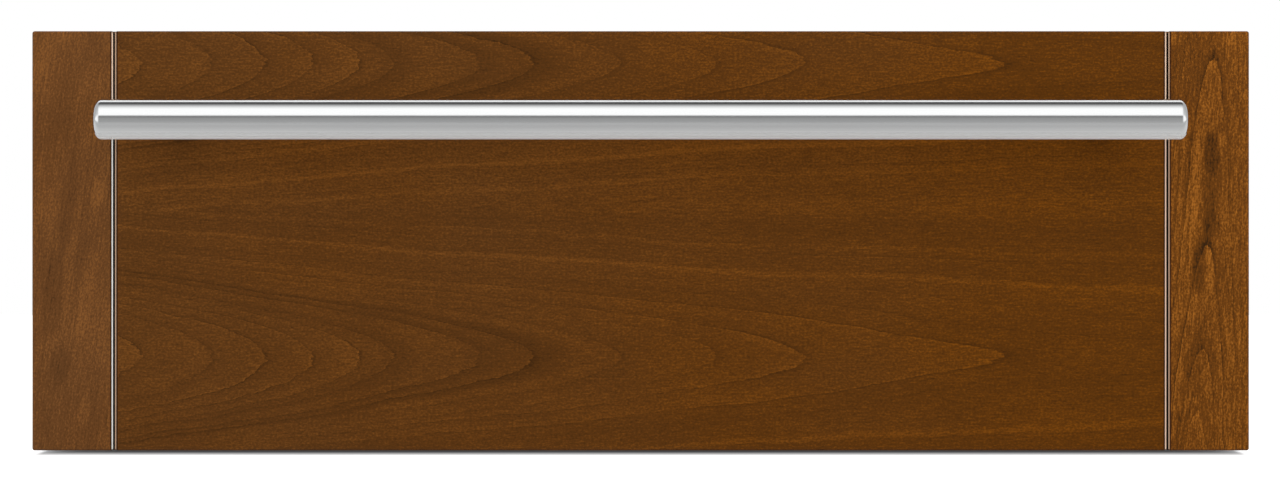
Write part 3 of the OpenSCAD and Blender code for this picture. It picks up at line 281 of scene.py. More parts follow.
@dataclass(frozen=True)
class CherryWood(Finish):
    """Stained cherry veneer, cut flat, with its figure worked out from the tree's growth rings.

    The cut runs along a tapering trunk. At a distance s along the grain it lies
    d(s) = sqrt(pull * fade * (1 - exp(-s / fade))) from the pith, so the ring through a point at a
    distance u across has the radius sqrt(d^2 + u^2), and its outline is an arch along the grain.
    Lengths are in millimetres. A leaf whose grain leans moves across by a share of the distance
    along, and a book-matched leaf folds the distance across at one line. The first and the last
    arches have lobed tips, and the last ones are slimmer: each of these starts at an edge, with a
    width over which it comes in.
    """

    along: Axis
    start: float
    pull: float
    fade: float
    middle: float
    rings: tuple[Pair, ...]
    bands: tuple[Pair, ...]
    near: tuple[tuple, ...]
    far: tuple[tuple, ...]
    ring_depth: float = 0.22
    band_depth: float = 0.3
    streak_depth: float = 0.1
    fibre_depth: float = 0.2
    speck_depth: float = 0.2
    blotch_depth: float = 0.2
    glint_depth: float = 0.3
    wander: float = 0.8
    lean: float = 0.0
    first_tips: Pair = (42.0, 50.0)
    last_tips: Pair = (490.0, 60.0)
    slim_along: Pair = (460.0, 160.0)
    slim_across: Pair = (27.0, 30.0)
    fold: float | None = None
    stains_and_painted_light: tuple[tuple[float, float, float, float, float], ...] = ()
    # painted shade: the colour of a dark line along each inlay, where shade falls between wood and metal
    painted_joint_shade: tuple = srgb(38, 8, 1)
    joint_shade_across: Pair = (2.35, 0.7)
    joint_shade_depth: Pair = (2.5, 1.0)
    seed: float = 0.0

    def radius(self, graph: Graph, spot: Signal) -> Signal:
        """The distance from the pith, with slow waves and ragged edges put in.

        Args:
            graph: The material's tree.
            spot: The place on the leaf: along, across and into the wood.

        Returns:
            The radius in millimetres.
        """
        run, across, depth = graph.split(spot)
        grown = run - self.start
        wave = graph.swing(spot, (0.009, 0.022, 0.02), 6.0, 2.0, 0.5, (self.seed, 3.1, 0.0))
        ragged = graph.swing(spot, (0.06, 0.16, 0.1), 4.0, 4.0, 0.62, (self.seed, 7.7, 0.0))
        jag = graph.swing(spot, (0.13, 0.62, 0.3), 2.6, 2.0, 0.5, (self.seed, 1.7, 0.0))
        lobes = graph.swing(spot, (0.03, 0.09, 0.1), 16.0, 3.0, 0.6, (self.seed, 5.2, 0.0))
        tips = grown.below(*self.first_tips) + grown.above(*self.last_tips) * 0.9
        u = across - self.middle + wave * self.wander + ragged * 0.3 + depth * 0.7
        slimmer = grown.above(*self.slim_along) * abs(u).below(*self.slim_across)
        u = u * (slimmer * 0.4 + 1.0)
        s = grown + wave + ragged + jag + lobes * tips
        reach = (1.0 - (s * (-1.0 / self.fade)).math("EXPONENT")) * (self.pull * self.fade)
        return (reach.math("MAXIMUM", 0.0) + u * u).math("SQRT")

    def ring_tone(self, graph: Graph, spot: Signal, radius: Signal) -> Signal:
        """Dark just outside each ring's line and fading to the next, each ring by its own strength.

        Args:
            graph: The material's tree.
            spot: The place on the leaf.
            radius: The ring's radius there.

        Returns:
            A tone round 0, below it where the wood is dark.
        """
        last = self.rings[-1][0]
        count = len(self.rings)
        lines = [(0.0, 0.0)] + [(r / last, (i + 1) / count) for i, (r, _) in enumerate(self.rings)]
        strengths = [(0.0, 0.4)] + [((r - RING_LEAD) / last, strength) for r, strength in self.rings]
        past = (radius - last).math("MAXIMUM", 0.0) / 4.0
        phase = (graph.ramp(radius / last, lines) * float(count) + past).math("FRACT")
        strength = graph.split(graph.ramp(radius / last, strengths, "CONSTANT"))[0]
        late = (1.0 - phase) ** 2.2
        edge = phase.below(0.05, 0.08)
        glint = phase.above(0.94, 0.08)
        patch = graph.noise(spot, (0.014, 0.04, 0.02), 2.0, 0.5, (1.3, self.seed, 0.0)).above(0.47, 0.3)
        tone = glint * self.glint_depth - late * 0.5 - edge * 0.7 + 0.2
        return tone * (strength * (patch * 0.65 + 0.35))

    def stain_and_light_tone(self, graph: Graph, spot: Signal) -> Number:
        """Soft ragged patches: stains, and on the centre panel a band of painted light under the handle.

        Args:
            graph: The material's tree.
            spot: The place on the leaf, before it is folded.

        Returns:
            The sum of the patches' tones. Each has a middle, two half sizes and a depth.
        """
        run, across, _ = graph.split(spot)
        rag = graph.swing(spot, (0.05, 0.2, 0.1), 1.6, 4.0, 0.6, (self.seed, 4.0, 9.0))
        total = 0.0
        for run_at, across_at, half_run, half_across, tone in self.stains_and_painted_light:
            a, b = (run - run_at) / half_run, (across - across_at) / half_across
            total = (a * a + b * b + rag).below(1.0, 1.1) * tone + total
        return total

    def paint(self, graph: Graph) -> dict[str, Value]:
        """Rings and bands, streaks that follow them, fibres, specks, pores, blotches, stains, painted light
        and painted shade.

        Args:
            graph: The material's tree.

        Returns:
            The shader's inputs by socket.
        """
        x, y, z = graph.split(graph.point())
        run, across = (x, z) if self.along is Axis.X else (z, x)
        across = across - run * self.lean
        depth = y - WOOD_FACE
        plain = graph.join(run, across, depth)
        spot = plain if self.fold is None else graph.join(run, abs(across - self.fold), depth)
        radius = self.radius(graph, spot)
        last = self.bands[-1][0]
        band = graph.ramp(radius / last, [(r / last, tone) for r, tone in self.bands]) - 0.5
        rings = self.ring_tone(graph, spot, radius)
        grain = graph.join(run * 0.02, radius * 0.55, depth * 0.1 + self.seed)
        streak = graph.swing(grain, 1.0, 1.0, 3.0, 0.6)
        fibre = graph.swing(plain, (0.11, 0.75, 0.6), 1.0, 2.0, 0.65, (0.0, self.seed, 0.0))
        speck = graph.swing(plain, (0.62, 0.85, 0.8), 1.0, 1.0, 0.6, (3.0, self.seed, 0.0))
        pores = graph.noise(plain, (0.2, 1.1, 1.0), 1.0, 0.5, (5.0, 2.0, self.seed)).above(0.68, 0.1)
        blotch = graph.swing(spot, (0.018, 0.04, 0.03), 1.0, 3.0, 0.5, (self.seed, 0.0, 8.0))
        shift = graph.swing(spot, (0.006, 0.014, 0.01), 0.45, 2.0, 0.5, (self.seed, 1.0, 1.0))
        place = (run / (2.0 * INLAY_AT) + shift + 0.5) if self.along is Axis.X else shift + 0.5
        fibre = fibre * (0.85 + place * 0.45)
        tone = (
            rings * self.ring_depth + band * self.band_depth + streak * self.streak_depth
            + fibre * self.fibre_depth + speck * self.speck_depth + self.stain_and_light_tone(graph, plain)
            + blotch * self.blotch_depth - pores * (self.fibre_depth * 0.6) + 0.5
        )
        near, far = [
            graph.ramp(tone, [(i / 2, srgb(*tint)) for i, tint in enumerate(tints)])
            for tints in (self.near, self.far)
        ]
        # painted shade: the wood darkens in a thin line beside each inlay, near its face
        painted_joint_shade = abs(abs(x) - INLAY_AT).below(*self.joint_shade_across) * depth.below(*self.joint_shade_depth)
        colour = graph.mix(painted_joint_shade * 0.85, graph.mix(place.above(0.5, 1.2), near, far), self.painted_joint_shade)
        relief = 0.5 + fibre * 0.2 - pores * 0.6
        return {
            "Base Color": colour,
            "Roughness": 0.44 + pores * 0.2 - fibre * 0.05,
            "Specular IOR Level": 0.14,
            "Specular Tint": (1.0, 0.72, 0.45, 1.0),
            "Normal": graph.bump(relief, 0.00004),
        }


@dataclass(frozen=True)
class BrushedMetal(Finish):
    """Metal with fine scratches along one axis, and slow cloudy changes of gloss."""

    colour: tuple
    roughness: float
    along: Axis = Axis.X
    scratch: float = 0.06
    cloud: float = 0.04
    relief: float = 0.000006
    grime: float = 0.0

    def paint(self, graph: Graph) -> dict[str, Value]:
        """Scratches are noise that is stretched a hundredfold along the axis.

        Args:
            graph: The material's tree.

        Returns:
            The shader's inputs by socket.
        """
        place = graph.point()
        lines = graph.swing(place, self.along.stretch(3.0, 0.03), 1.0, 3.0, 0.7)
        bands = graph.swing(place, self.along.stretch(0.7, 0.008), 1.0)
        cloud = graph.swing(place, 0.02, 1.0, 3.0)
        wear = graph.noise(place, 0.05, 5.0, 0.65, (9.0, 2.0, 4.0)).above(0.62, 0.2)
        gain = 1.0 + lines * self.scratch + bands * (self.scratch * 0.5) + cloud * 0.03 - wear * self.grime
        rough = self.roughness + lines * self.scratch * 0.6 + cloud * self.cloud + wear * (self.grime * 0.6)
        return {
            "Base Color": graph.shade(self.colour, gain),
            "Metallic": 1.0,
            "Roughness": rough,
            "Normal": graph.bump(lines * 0.5 + bands * 0.5 + 0.5, self.relief),
        }


@dataclass(frozen=True)
class BarSteel(Finish):
    """The handle's polished steel, with fine lines along it. Its underside carries painted light: paler,
    rougher and not metallic.
    """

    colour: tuple
    roughness: float
    steps: tuple[Pair, ...] = ((-8.6, 1.4), (-9.4, 0.8), (-10.9, 0.9))

    def paint(self, graph: Graph) -> dict[str, Value]:
        """The underside's painted light starts a little above the bar's lowest line, and pales in three
        steps.

        Args:
            graph: The material's tree.

        Returns:
            The shader's inputs by socket.
        """
        place = graph.point()
        height = graph.split(place)[2] - BAR_AXIS
        lines = graph.swing(place, (0.02, 2.6, 2.6), 1.0, 3.0, 0.7)
        cloud = graph.swing(place, (0.03, 0.2, 0.2), 1.0, 3.0)
        # painted light: the underside is made pale and matt, standing in for a bright reflection
        painted_underside, low, lowest = (height.below(*step) for step in self.steps)
        pale = painted_underside * 0.4 + low * 0.35 + lowest * 0.6
        return {
            "Base Color": graph.shade(self.colour, 1.0 + lines * 0.05 + cloud * 0.02 + pale),
            "Metallic": 1.0 - painted_underside,
            "Roughness": self.roughness + lines * 0.03 + cloud * 0.01 + painted_underside * 0.2,
            "Normal": graph.bump(lines + 0.5, 0.000004),
        }


@dataclass(frozen=True)
class InlayMetal(Finish):
    """The two lips of an inlay: the first painted pale as a highlight, the second tan as a painted
    reflection, and the slot dark as painted shade.
    """

    pale: tuple
    rosy: tuple
    tan: tuple
    dark: tuple
    rosy_above: Pair = (215.0, 60.0)
    slot: Pair = (0.4, 0.7)

    def paint(self, graph: Graph) -> dict[str, Value]:
        """The lip is told by the side of the inlay's middle, and the slot by its depth.

        The first lip's painted highlight turns from pale to rosy towards the top, and is rosy on the right
        inlay.

        Args:
            graph: The material's tree.

        Returns:
            The shader's inputs by socket.
        """
        place = graph.point()
        x, y, z = graph.split(place)
        # painted light: the first lip is a painted highlight, the second a painted reflection of the wood
        second = (x - x.math("SIGN") * INLAY_AT).above(0.0, 0.4)
        drawn = graph.swing(place, (4.0, 4.0, 0.02), 1.0, 2.0)
        blush = (x.above(0.0, 1.0) + z.above(*self.rosy_above)).math("MINIMUM", 1.0)
        first = graph.mix(blush, self.pale, self.rosy)
        lip = graph.shade(graph.mix(second, first, self.tan), 1.0 + drawn * 0.08)
        # painted shade: the slot is coloured dark below the face, where only shade falls
        painted_slot_shade = (y - WOOD_FACE).above(*self.slot)
        return {
            "Base Color": graph.mix(painted_slot_shade, lip, self.dark),
            "Metallic": (1.0 - painted_slot_shade) * 0.3,
            "Roughness": 0.4 + drawn * 0.05,
            "Specular IOR Level": 0.2,
            "Normal": graph.bump(drawn * 0.5 + 0.5, 0.000004),
        }


@dataclass(frozen=True)
class CoatedSheet(Finish):
    """Hot-dipped sheet steel: a faint spangle of crystals under a dull grey skin."""

    colour: tuple

    def paint(self, graph: Graph) -> dict[str, Value]:
        """Two sizes of cells give the crystals, and stretched noise the rolling direction.

        Args:
            graph: The material's tree.

        Returns:
            The shader's inputs by socket.
        """
        place = graph.point()
        crystal = graph.split(graph.cells(place, 0.085))[0]
        small = graph.split(graph.cells(place, 0.3))[1]
        rolled = graph.swing(place, (0.9, 0.02, 0.9), 1.0, 3.0)
        stain = graph.swing(place, 0.011, 1.0, 4.0, 0.6)
        gain = 0.93 + crystal * 0.1 + small * 0.05 + rolled * 0.04 + stain * 0.05
        return {
            "Base Color": graph.shade(self.colour, gain),
            "Metallic": 0.6,
            "Roughness": 0.36 + crystal * 0.1 + stain * 0.05 + small * 0.04,
            "Normal": graph.bump(crystal * 0.3 + rolled * 0.3 + 0.4, 0.00001),
        }


@dataclass(frozen=True)
class Elastomer(Finish):
    """Moulded rubber or soft plastic with a fine matt grain and a little dust."""

    colour: tuple
    dust: tuple
    roughness: float = 0.62
    grain: float = 2.2

    def paint(self, graph: Graph) -> dict[str, Value]:
        """Two sizes of noise give the moulded grain, and a third the dust.

        Args:
            graph: The material's tree.

        Returns:
            The shader's inputs by socket.
        """
        place = graph.point()
        pits = graph.noise(place, self.grain, 3.0, 0.6)
        dusty = graph.noise(place, 0.06, 5.0, 0.7).above(0.6, 0.3)
        return {
            "Base Color": graph.mix(dusty * 0.35, graph.shade(self.colour, 0.85 + pits * 0.3), self.dust),
            "Roughness": self.roughness + pits * 0.12,
            "Specular IOR Level": 0.4,
            "Normal": graph.bump(pits, 0.00003),
        }


@dataclass(frozen=True)
class FibreBlanket(Finish):
    """Needled mineral fibre: pale, matt and tangled."""

    colour: tuple
    shadow: tuple

    def paint(self, graph: Graph) -> dict[str, Value]:
        """Three crossed directions of stretched noise tangle the fibres.

        Args:
            graph: The material's tree.

        Returns:
            The shader's inputs by socket.
        """
        place = graph.point()
        scales = ((0.12, 1.6, 1.4), (1.5, 0.14, 1.2), (1.3, 1.1, 0.12))
        strands = [graph.noise(place, scale, 3.0, 0.6, (3.0 * i, 1.0, 2.0)) for i, scale in enumerate(scales)]
        mat = strands[0].math("MAXIMUM", strands[1]).math("MAXIMUM", strands[2])
        tuft = graph.noise(place, 0.05, 3.0)
        return {
            "Base Color": graph.mix(mat.above(0.62, 0.3) * 0.7 + tuft * 0.25, self.shadow, self.colour),
            "Roughness": 0.92,
            "Specular IOR Level": 0.1,
            "Normal": graph.bump(mat, 0.0006),
        }


@dataclass(frozen=True)
class HeaterSheath(Finish):
    """The oxidised alloy sheath of a heating element, tinted brown and blue by heat."""

    cold: tuple
    brown: tuple
    blue: tuple
    hot_before: Pair = (240.0, 60.0)

    def paint(self, graph: Graph) -> dict[str, Value]:
        """Slow noise along the tube picks the tint, and the cold ends stay plain.

        Args:
            graph: The material's tree.

        Returns:
            The shader's inputs by socket.
        """
        place = graph.point()
        heat = graph.noise(place, (0.03, 0.018, 0.05), 3.0)
        hot = graph.split(place)[1].below(*self.hot_before)
        scale = graph.noise(place, 0.9, 4.0, 0.65)
        tint = graph.mix(heat.above(0.5, 0.22), self.brown, self.blue)
        colour = graph.mix(hot * 0.85, self.cold, tint)
        return {
            "Base Color": graph.shade(colour, 0.8 + scale * 0.4),
            "Metallic": 0.6,
            "Roughness": 0.42 + scale * 0.2,
            "Normal": graph.bump(scale, 0.00003),
        }


@dataclass(frozen=True)
class MouldedPlastic(Finish):
    """Hard moulded plastic with a spark-eroded grain, which rubs smooth on its high places."""

    colour: tuple
    roughness: float
    grain: float = 0.00002

    def paint(self, graph: Graph) -> dict[str, Value]:
        """Fine cells give the grain, and slow noise the rubbed places.

        Args:
            graph: The material's tree.

        Returns:
            The shader's inputs by socket.
        """
        place = graph.point()
        grit = graph.noise(place, 4.5, 3.0, 0.6)
        rubbed = graph.noise(place, 0.07, 4.0).above(0.56, 0.2)
        return {
            "Base Color": graph.shade(self.colour, 0.9 + grit * 0.2),
            "Roughness": self.roughness + grit * 0.12 - rubbed * 0.08,
            "Normal": graph.bump(grit, self.grain),
        }


@dataclass(frozen=True)
class CircuitBoard(Finish):
    """A green laminate with copper tracks, and the parts on it told by their depth."""

    laminate: tuple
    copper: tuple
    part: tuple
    face: float
    towards: Axis = Axis.Y

    def paint(self, graph: Graph) -> dict[str, Value]:
        """Square cells give the tracks. What stands off the board takes the parts' colour.

        Args:
            graph: The material's tree.

        Returns:
            The shader's inputs by socket.
        """
        place = graph.point()
        height = graph.split(place)[self.towards.value] - self.face
        bricks = {"Vector": graph.scaled(place, (0.11, 0.3, 0.23)), "Scale": 1.0, "Mortar Size": 0.06}
        track = graph.node("TexBrick", {"offset": 0.5, "squash": 0.7}, bricks, "Fac")
        etched = graph.mix(track * 0.55, self.laminate, self.copper)
        chip = graph.noise(place, 0.5, 3.0)
        off = height.below(-1.9, 0.3) if self.towards is Axis.Y else height.above(0.0, 0.3)
        return {
            "Base Color": graph.mix(off, etched, graph.shade(self.part, 0.8 + chip * 0.4)),
            "Roughness": 0.4 + chip * 0.15,
            "Normal": graph.bump(track * 0.4 + chip * 0.2, 0.00004),
        }


@dataclass(frozen=True)
class LensPlastic(Finish):
    """A milky indicator lens with a diffusing pattern under a clear face."""

    colour: tuple

    def paint(self, graph: Graph) -> dict[str, Value]:
        """Fine cells scatter the light under a coat.

        Args:
            graph: The material's tree.

        Returns:
            The shader's inputs by socket.
        """
        frost = graph.cells(graph.point(), 3.0, "Distance")
        return {
            "Base Color": graph.shade(self.colour, 0.82 + frost * 0.3),
            "Roughness": 0.3 + frost * 0.2,
            "Coat Weight": 0.8,
            "Coat Roughness": 0.04,
            "Normal": graph.bump(frost, 0.00002),
        }


# Rings are (radius in millimetres, strength), and bands are (radius, tone).
CENTRE_RINGS = (
    (17.0, 0.8), (29.6, 0.35), (35.8, 0.95), (40.2, 0.8), (44.0, 0.75), (46.2, 0.5), (51.4, 0.75),
    (53.9, 0.9), (57.6, 0.35), (61.0, 0.4), (63.4, 0.7), (68.1, 0.65), (72.0, 0.25), (76.4, 0.2), (83.0, 0.2),
    (90.1, 0.4), (95.0, 0.3), (99.4, 0.2), (103.9, 0.3), (108.3, 0.2), (113.3, 0.2),
)
CENTRE_BANDS = (
    (16.0, 0.72), (18.7, 0.6), (21.9, 0.5), (29.3, 0.46), (33.6, 0.6), (38.0, 0.5), (44.4, 0.5), (46.6, 0.2),
    (48.4, 0.5), (51.0, 0.46), (51.9, 0.05), (53.0, 0.42), (54.4, 0.0), (56.0, 0.45), (59.0, 0.54),
    (64.3, 0.58), (68.1, 0.56), (71.0, 0.34), (77.8, 0.56), (80.2, 0.56), (81.6, 1.0), (83.4, 0.5),
    (89.6, 0.42), (93.0, 0.5), (94.4, 0.66), (96.4, 0.4), (104.4, 0.38), (111.3, 0.62), (117.2, 0.5),
)
STILE_RINGS = (
    (14.2, 0.9), (16.8, 0.8), (20.6, 1.0), (26.1, 0.9), (29.6, 0.5), (32.5, 0.9), (35.1, 0.6), (38.0, 0.9),
    (41.0, 0.6), (44.5, 0.8), (48.0, 0.6),
)
STILE_BANDS = ((0.0, 0.6), (14.2, 0.5), (18.8, 0.42), (22.2, 0.58), (25.0, 0.44), (30.0, 0.52), (48.0, 0.5))
LEFT_RINGS = tuple((20.0 + 3.6 * i, 0.4 + 0.5 * (i % 3)) for i in range(26))
EVEN_BANDS = ((0.0, 0.5), (30.0, 0.6), (44.0, 0.42), (58.0, 0.58), (74.0, 0.45), (90.0, 0.55), (110.0, 0.5))

CHERRY_CENTRE = CherryWood(
    "cherry_flat_cut", Axis.X, -331.0, 14.65, 440.0, 91.3, CENTRE_RINGS, CENTRE_BANDS,
    ((45, 24, 3), (86, 50, 16), (141, 87, 32)),
    ((48, 24, 0), (88, 47, 2), (146, 83, 8)), ring_depth=0.32, band_depth=0.22,
    streak_depth=0.05, fibre_depth=0.19, speck_depth=0.3, blotch_depth=0.08, fold=152.4,
    # painted light: this band lightens the wood just below the handle, where the handle's shadow falls
    stains_and_painted_light=((0.0, 178.0, 900.0, 26.0, 0.07),), seed=2.0,
)
CHERRY_LEFT = CherryWood(
    "cherry_left_upright", Axis.Z, -90.0, 2.6, 900.0, -300.0, LEFT_RINGS, EVEN_BANDS,
    ((50, 29, 12), (98, 62, 31), (150, 99, 50)),
    ((54, 28, 10), (103, 62, 26), (157, 96, 39)), ring_depth=0.1, band_depth=0.12,
    streak_depth=0.12, fibre_depth=0.17, speck_depth=0.33, blotch_depth=0.22, lean=0.13, stains_and_painted_light=(
        (160.0, -376.0, 32.0, 4.5, -0.1), (100.0, -377.5, 30.0, 5.5, -0.1), (55.0, -367.5, 12.0, 6.0, -0.1),
        (130.0, -364.0, 34.0, 3.0, -0.06), (163.0, -358.5, 9.0, 4.5, 0.09), (100.0, -357.0, 26.0, 5.0, 0.07),
        (28.0, -349.5, 9.0, 4.0, 0.09), (215.0, -366.0, 24.0, 14.0, 0.03),
    ), seed=11.0,
)
CHERRY_RIGHT = CherryWood(
    "cherry_right_upright", Axis.Z, -60.0, 2.3, 4000.0, 345.0, STILE_RINGS, STILE_BANDS,
    ((46, 24, 3), (107, 60, 11), (187, 116, 38)),
    ((48, 25, 3), (105, 58, 10), (182, 110, 34)), ring_depth=0.38, fibre_depth=0.37,
    speck_depth=0.38, streak_depth=0.16, blotch_depth=0.12, glint_depth=0.14, wander=1.0, lean=0.045, stains_and_painted_light=(
        (188.0, 346.4, 13.0, 4.4, -0.15), (169.0, 347.0, 34.0, 5.2, -0.15), (144.0, 347.6, 9.0, 4.6, -0.1),
        (119.0, 341.2, 18.0, 4.2, -0.22), (115.0, 348.6, 11.0, 2.2, 0.08), (240.0, 329.0, 26.0, 12.0, -0.08),
        (58.0, 341.0, 16.0, 6.0, -0.08), (160.0, 337.0, 40.0, 2.6, 0.1),
    ), seed=23.0,
)
SATIN_STEEL = BarSteel("satin_bar_steel", (0.47, 0.475, 0.475, 1.0), 0.14)
# The lips' pale and tan are a painted highlight and a painted reflection, and the slot's near-black is
# painted shade.
INLAY = InlayMetal(
    "inlay_metal_lips", srgb(222, 220, 214), srgb(224, 192, 166), srgb(176, 144, 118), srgb(20, 6, 1)
)
STAINLESS = BrushedMetal("stainless_brushed", (0.56, 0.55, 0.53, 1.0), 0.3, grime=0.03)
COATED = CoatedSheet("coated_steel", (0.42, 0.427, 0.436, 1.0))
RUNNER_ZINC = BrushedMetal("runner_zinc", (0.6, 0.61, 0.63, 1.0), 0.27, Axis.Y, 0.07, grime=0.08)
BALL_STEEL = BrushedMetal("ball_steel_bright", (0.64, 0.64, 0.63, 1.0), 0.16, Axis.Y, 0.03)
FASTENER = BrushedMetal("fastener_zinc", (0.58, 0.58, 0.57, 1.0), 0.3, Axis.Z, 0.05, grime=0.1)
RACK_CHROME = BrushedMetal("rack_chrome", (0.7, 0.7, 0.69, 1.0), 0.14, Axis.Y, 0.02, grime=0.03)
SEAL = Elastomer("seal_silicone", srgb(58, 58, 57), srgb(120, 116, 110))
FOOT_RUBBER = Elastomer("foot_rubber", srgb(38, 38, 38), srgb(110, 106, 98), 0.66)
BUSH = Elastomer("bush_nylon", srgb(30, 30, 31), srgb(90, 88, 84), 0.5)
BLANKET = FibreBlanket("mineral_blanket", srgb(226, 214, 178), srgb(150, 132, 96))
ELEMENT = HeaterSheath("element_sheath_oxide", srgb(120, 118, 112), srgb(74, 58, 44), srgb(58, 60, 66))
STRIP = MouldedPlastic("strip_black", srgb(30, 30, 32), 0.42)
BUTTON = MouldedPlastic("button_grey", srgb(62, 63, 66), 0.38, 0.000015)
LEGEND = MouldedPlastic("legend_ink", srgb(222, 222, 218), 0.5, 0.000004)
BAY_PLASTIC = MouldedPlastic("bay_nylon", srgb(226, 220, 200), 0.45)
THERMOSTAT = MouldedPlastic("thermostat_phenolic", srgb(36, 32, 30), 0.4)
LENS = LensPlastic("lens_milky", srgb(206, 212, 210))
CONTROL_BOARD = CircuitBoard(
    "control_board_green", srgb(26, 84, 52), srgb(150, 120, 70), srgb(34, 34, 36), 251.4, Axis.Z
)
POWER_BOARD = CircuitBoard(
    "power_board_green", srgb(28, 88, 54), srgb(160, 128, 74), srgb(48, 46, 44), 335.6
)


# ---- surfaces ----


def quads(rows: int, columns: int, round_rows: bool = False, round_columns: bool = False) -> np.ndarray:
    """The faces of a grid of points.

    Args:
        rows: How many points run along the first parameter.
        columns: How many run along the second.
        round_rows: Whether the last row meets the first.
        round_columns: Whether the last column meets the first.

    Returns:
        Four indices a face.
    """
    i, j = np.meshgrid(
        np.arange(rows if round_rows else rows - 1),
        np.arange(columns if round_columns else columns - 1),
        indexing="ij",
    )
    i2, j2 = (i + 1) % rows, (j + 1) % columns
    corners = [i * columns + j, i2 * columns + j, i2 * columns + j2, i * columns + j2]
    return np.stack(corners, -1).reshape(-1, 4)


def make_piece(name: str, surface: Surface, finish: Finish, smooth: bool = True) -> bpy.types.Object:
    """Puts a surface into a new object, with its doubled points merged and its faces outwards.

    Args:
        name: The piece's name.
        surface: Its points in metres, in the part's frame, and its faces.
        finish: What it is made of.
        smooth: Whether its faces are shaded smooth.

    Returns:
        The object, at the origin.
    """
    mesh = bpy.data.meshes.new(name)
    mesh.from_pydata(surface[0].tolist(), [], surface[1].tolist())
    work = bmesh.new()
    work.from_mesh(mesh)
    bmesh.ops.remove_doubles(work, verts=work.verts, dist=1e-6)
    bmesh.ops.recalc_face_normals(work, faces=work.faces)
    work.to_mesh(mesh)
    work.free()
    mesh.polygons.foreach_set("use_smooth", np.full(len(mesh.polygons), smooth))
    mesh.materials.append(finish.material())
    piece = bpy.data.objects.new(name, mesh)
    bpy.context.scene.collection.objects.link(piece)
    return piece


def round_loop(half_x: float, half_z: float, radius: float, steps: int) -> Surface:
    """A closed loop of four straights and four quarter circles, in the XZ plane.

    A corner's point is its centre plus the radius times (cos t, sin t), as t turns by 90 degrees.

    Args:
        half_x: Half the loop's width.
        half_z: Half its height.
        radius: The corners' radius.
        steps: How many points a corner has.

    Returns:
        The points, and their outward normals in place of faces, both as rows of x and z.
    """
    turn = np.linspace(0.0, math.pi / 2, steps)
    angle = (np.arange(4)[:, None] * math.pi / 2 + turn[None, :]).ravel()
    normal = np.stack([np.cos(angle), np.sin(angle)], -1)
    quarter = np.repeat(np.arange(4), steps) * math.pi / 2 + math.pi / 4
    centre = np.stack(
        [np.sign(np.cos(quarter)) * (half_x - radius), np.sign(np.sin(quarter)) * (half_z - radius)], -1
    )
    return centre + radius * normal, normal


def slab(low: tuple, high: tuple, count: tuple[int, int], thin: int, edge: float, lump: float) -> Surface:
    """A soft slab: two sheets that meet round their rim.

    The half thickness at (a, b), both from -1 to 1, is the slab's own half thickness times
    (1 - |a|^n)^(1/2) (1 - |b|^n)^(1/2), less a lumpy sum of sines; n grows as the edge gets sharper.

    Args:
        low: The slab's lowest corner, in millimetres.
        high: Its highest corner.
        count: How many points each way.
        thin: The axis of its thickness, 0 to 2.
        edge: The power n.
        lump: The depth of the lumps, in millimetres.

    Returns:
        Points in metres, and faces.
    """
    low, high = np.array(low, float), np.array(high, float)
    middle, half = (low + high) / 2, (high - low) / 2
    wide = [k for k in range(3) if k != thin]
    a, b = np.meshgrid(*(np.sin(np.linspace(-math.pi / 2, math.pi / 2, n)) for n in count), indexing="ij")
    rim = np.sqrt(np.clip(1 - np.abs(a) ** edge, 0, 1)) * np.sqrt(np.clip(1 - np.abs(b) ** edge, 0, 1))
    u, v = a * half[wide[0]], b * half[wide[1]]
    bumps = np.sin(u * 0.11 + 1.3) * np.sin(v * 0.13 + 0.4) * 0.5 + np.sin(u * 0.047 + v * 0.061) * 0.5
    sheets = []
    for side in (-1.0, 1.0):
        points = np.empty(a.shape + (3,))
        points[..., wide[0]] = middle[wide[0]] + u
        points[..., wide[1]] = middle[wide[1]] + v
        points[..., thin] = middle[thin] + side * rim * (half[thin] - lump * (0.5 + 0.5 * bumps * side))
        sheets.append(points.reshape(-1, 3))
    faces = quads(*count)
    return np.concatenate(sheets) * MM, np.concatenate([faces, faces[:, ::-1] + len(sheets[0])])


def ribbon(path: np.ndarray, width: float, low: float, high: float) -> Surface:
    """A raised stroke: a flat bar with square ends along a path in the XY plane.

    Each point is moved to both sides along the path's normal by half the width.

    Args:
        path: Rows of x and y, in millimetres.
        width: The stroke's width.
        low: The height of its underside.
        high: The height of its top.

    Returns:
        Points in metres, and faces.
    """
    along = np.gradient(path, axis=0)
    along /= np.linalg.norm(along, axis=1, keepdims=True)
    side = np.stack([-along[:, 1], along[:, 0]], -1) * width / 2
    ring = [(-1, low), (1, low), (1, high), (-1, high)]
    rows = [np.column_stack([path + s * side, np.full(len(path), h)]) for s, h in ring]
    points = np.stack(rows, 1).reshape(-1, 3)
    faces = quads(len(path), 4, round_columns=True)
    last = (len(path) - 1) * 4
    ends = np.array([[0, 1, 2, 3], [last + 3, last + 2, last + 1, last]])
    return points * MM, np.concatenate([faces, ends])


def combine(parts: Iterable[Surface]) -> Surface:
    """Puts several surfaces together.

    Args:
        parts: The surfaces.

    Returns:
        All their points and faces as one surface.
    """
    points, faces, start = [], [], 0
    for some_points, some_faces in parts:
        points.append(some_points)
        faces.append(some_faces + start)
        start += len(some_points)
    return np.concatenate(points), np.concatenate(faces)


# ---- sub-assemblies ----


Dressing = dict[str, Finish]


def worn(*rows: tuple) -> Dressing:
    """A field of finishes by CAD node. Each row is a finish and the nodes that wear it."""
    return field(default_factory=lambda: {node: finish for finish, *nodes in rows for node in nodes})


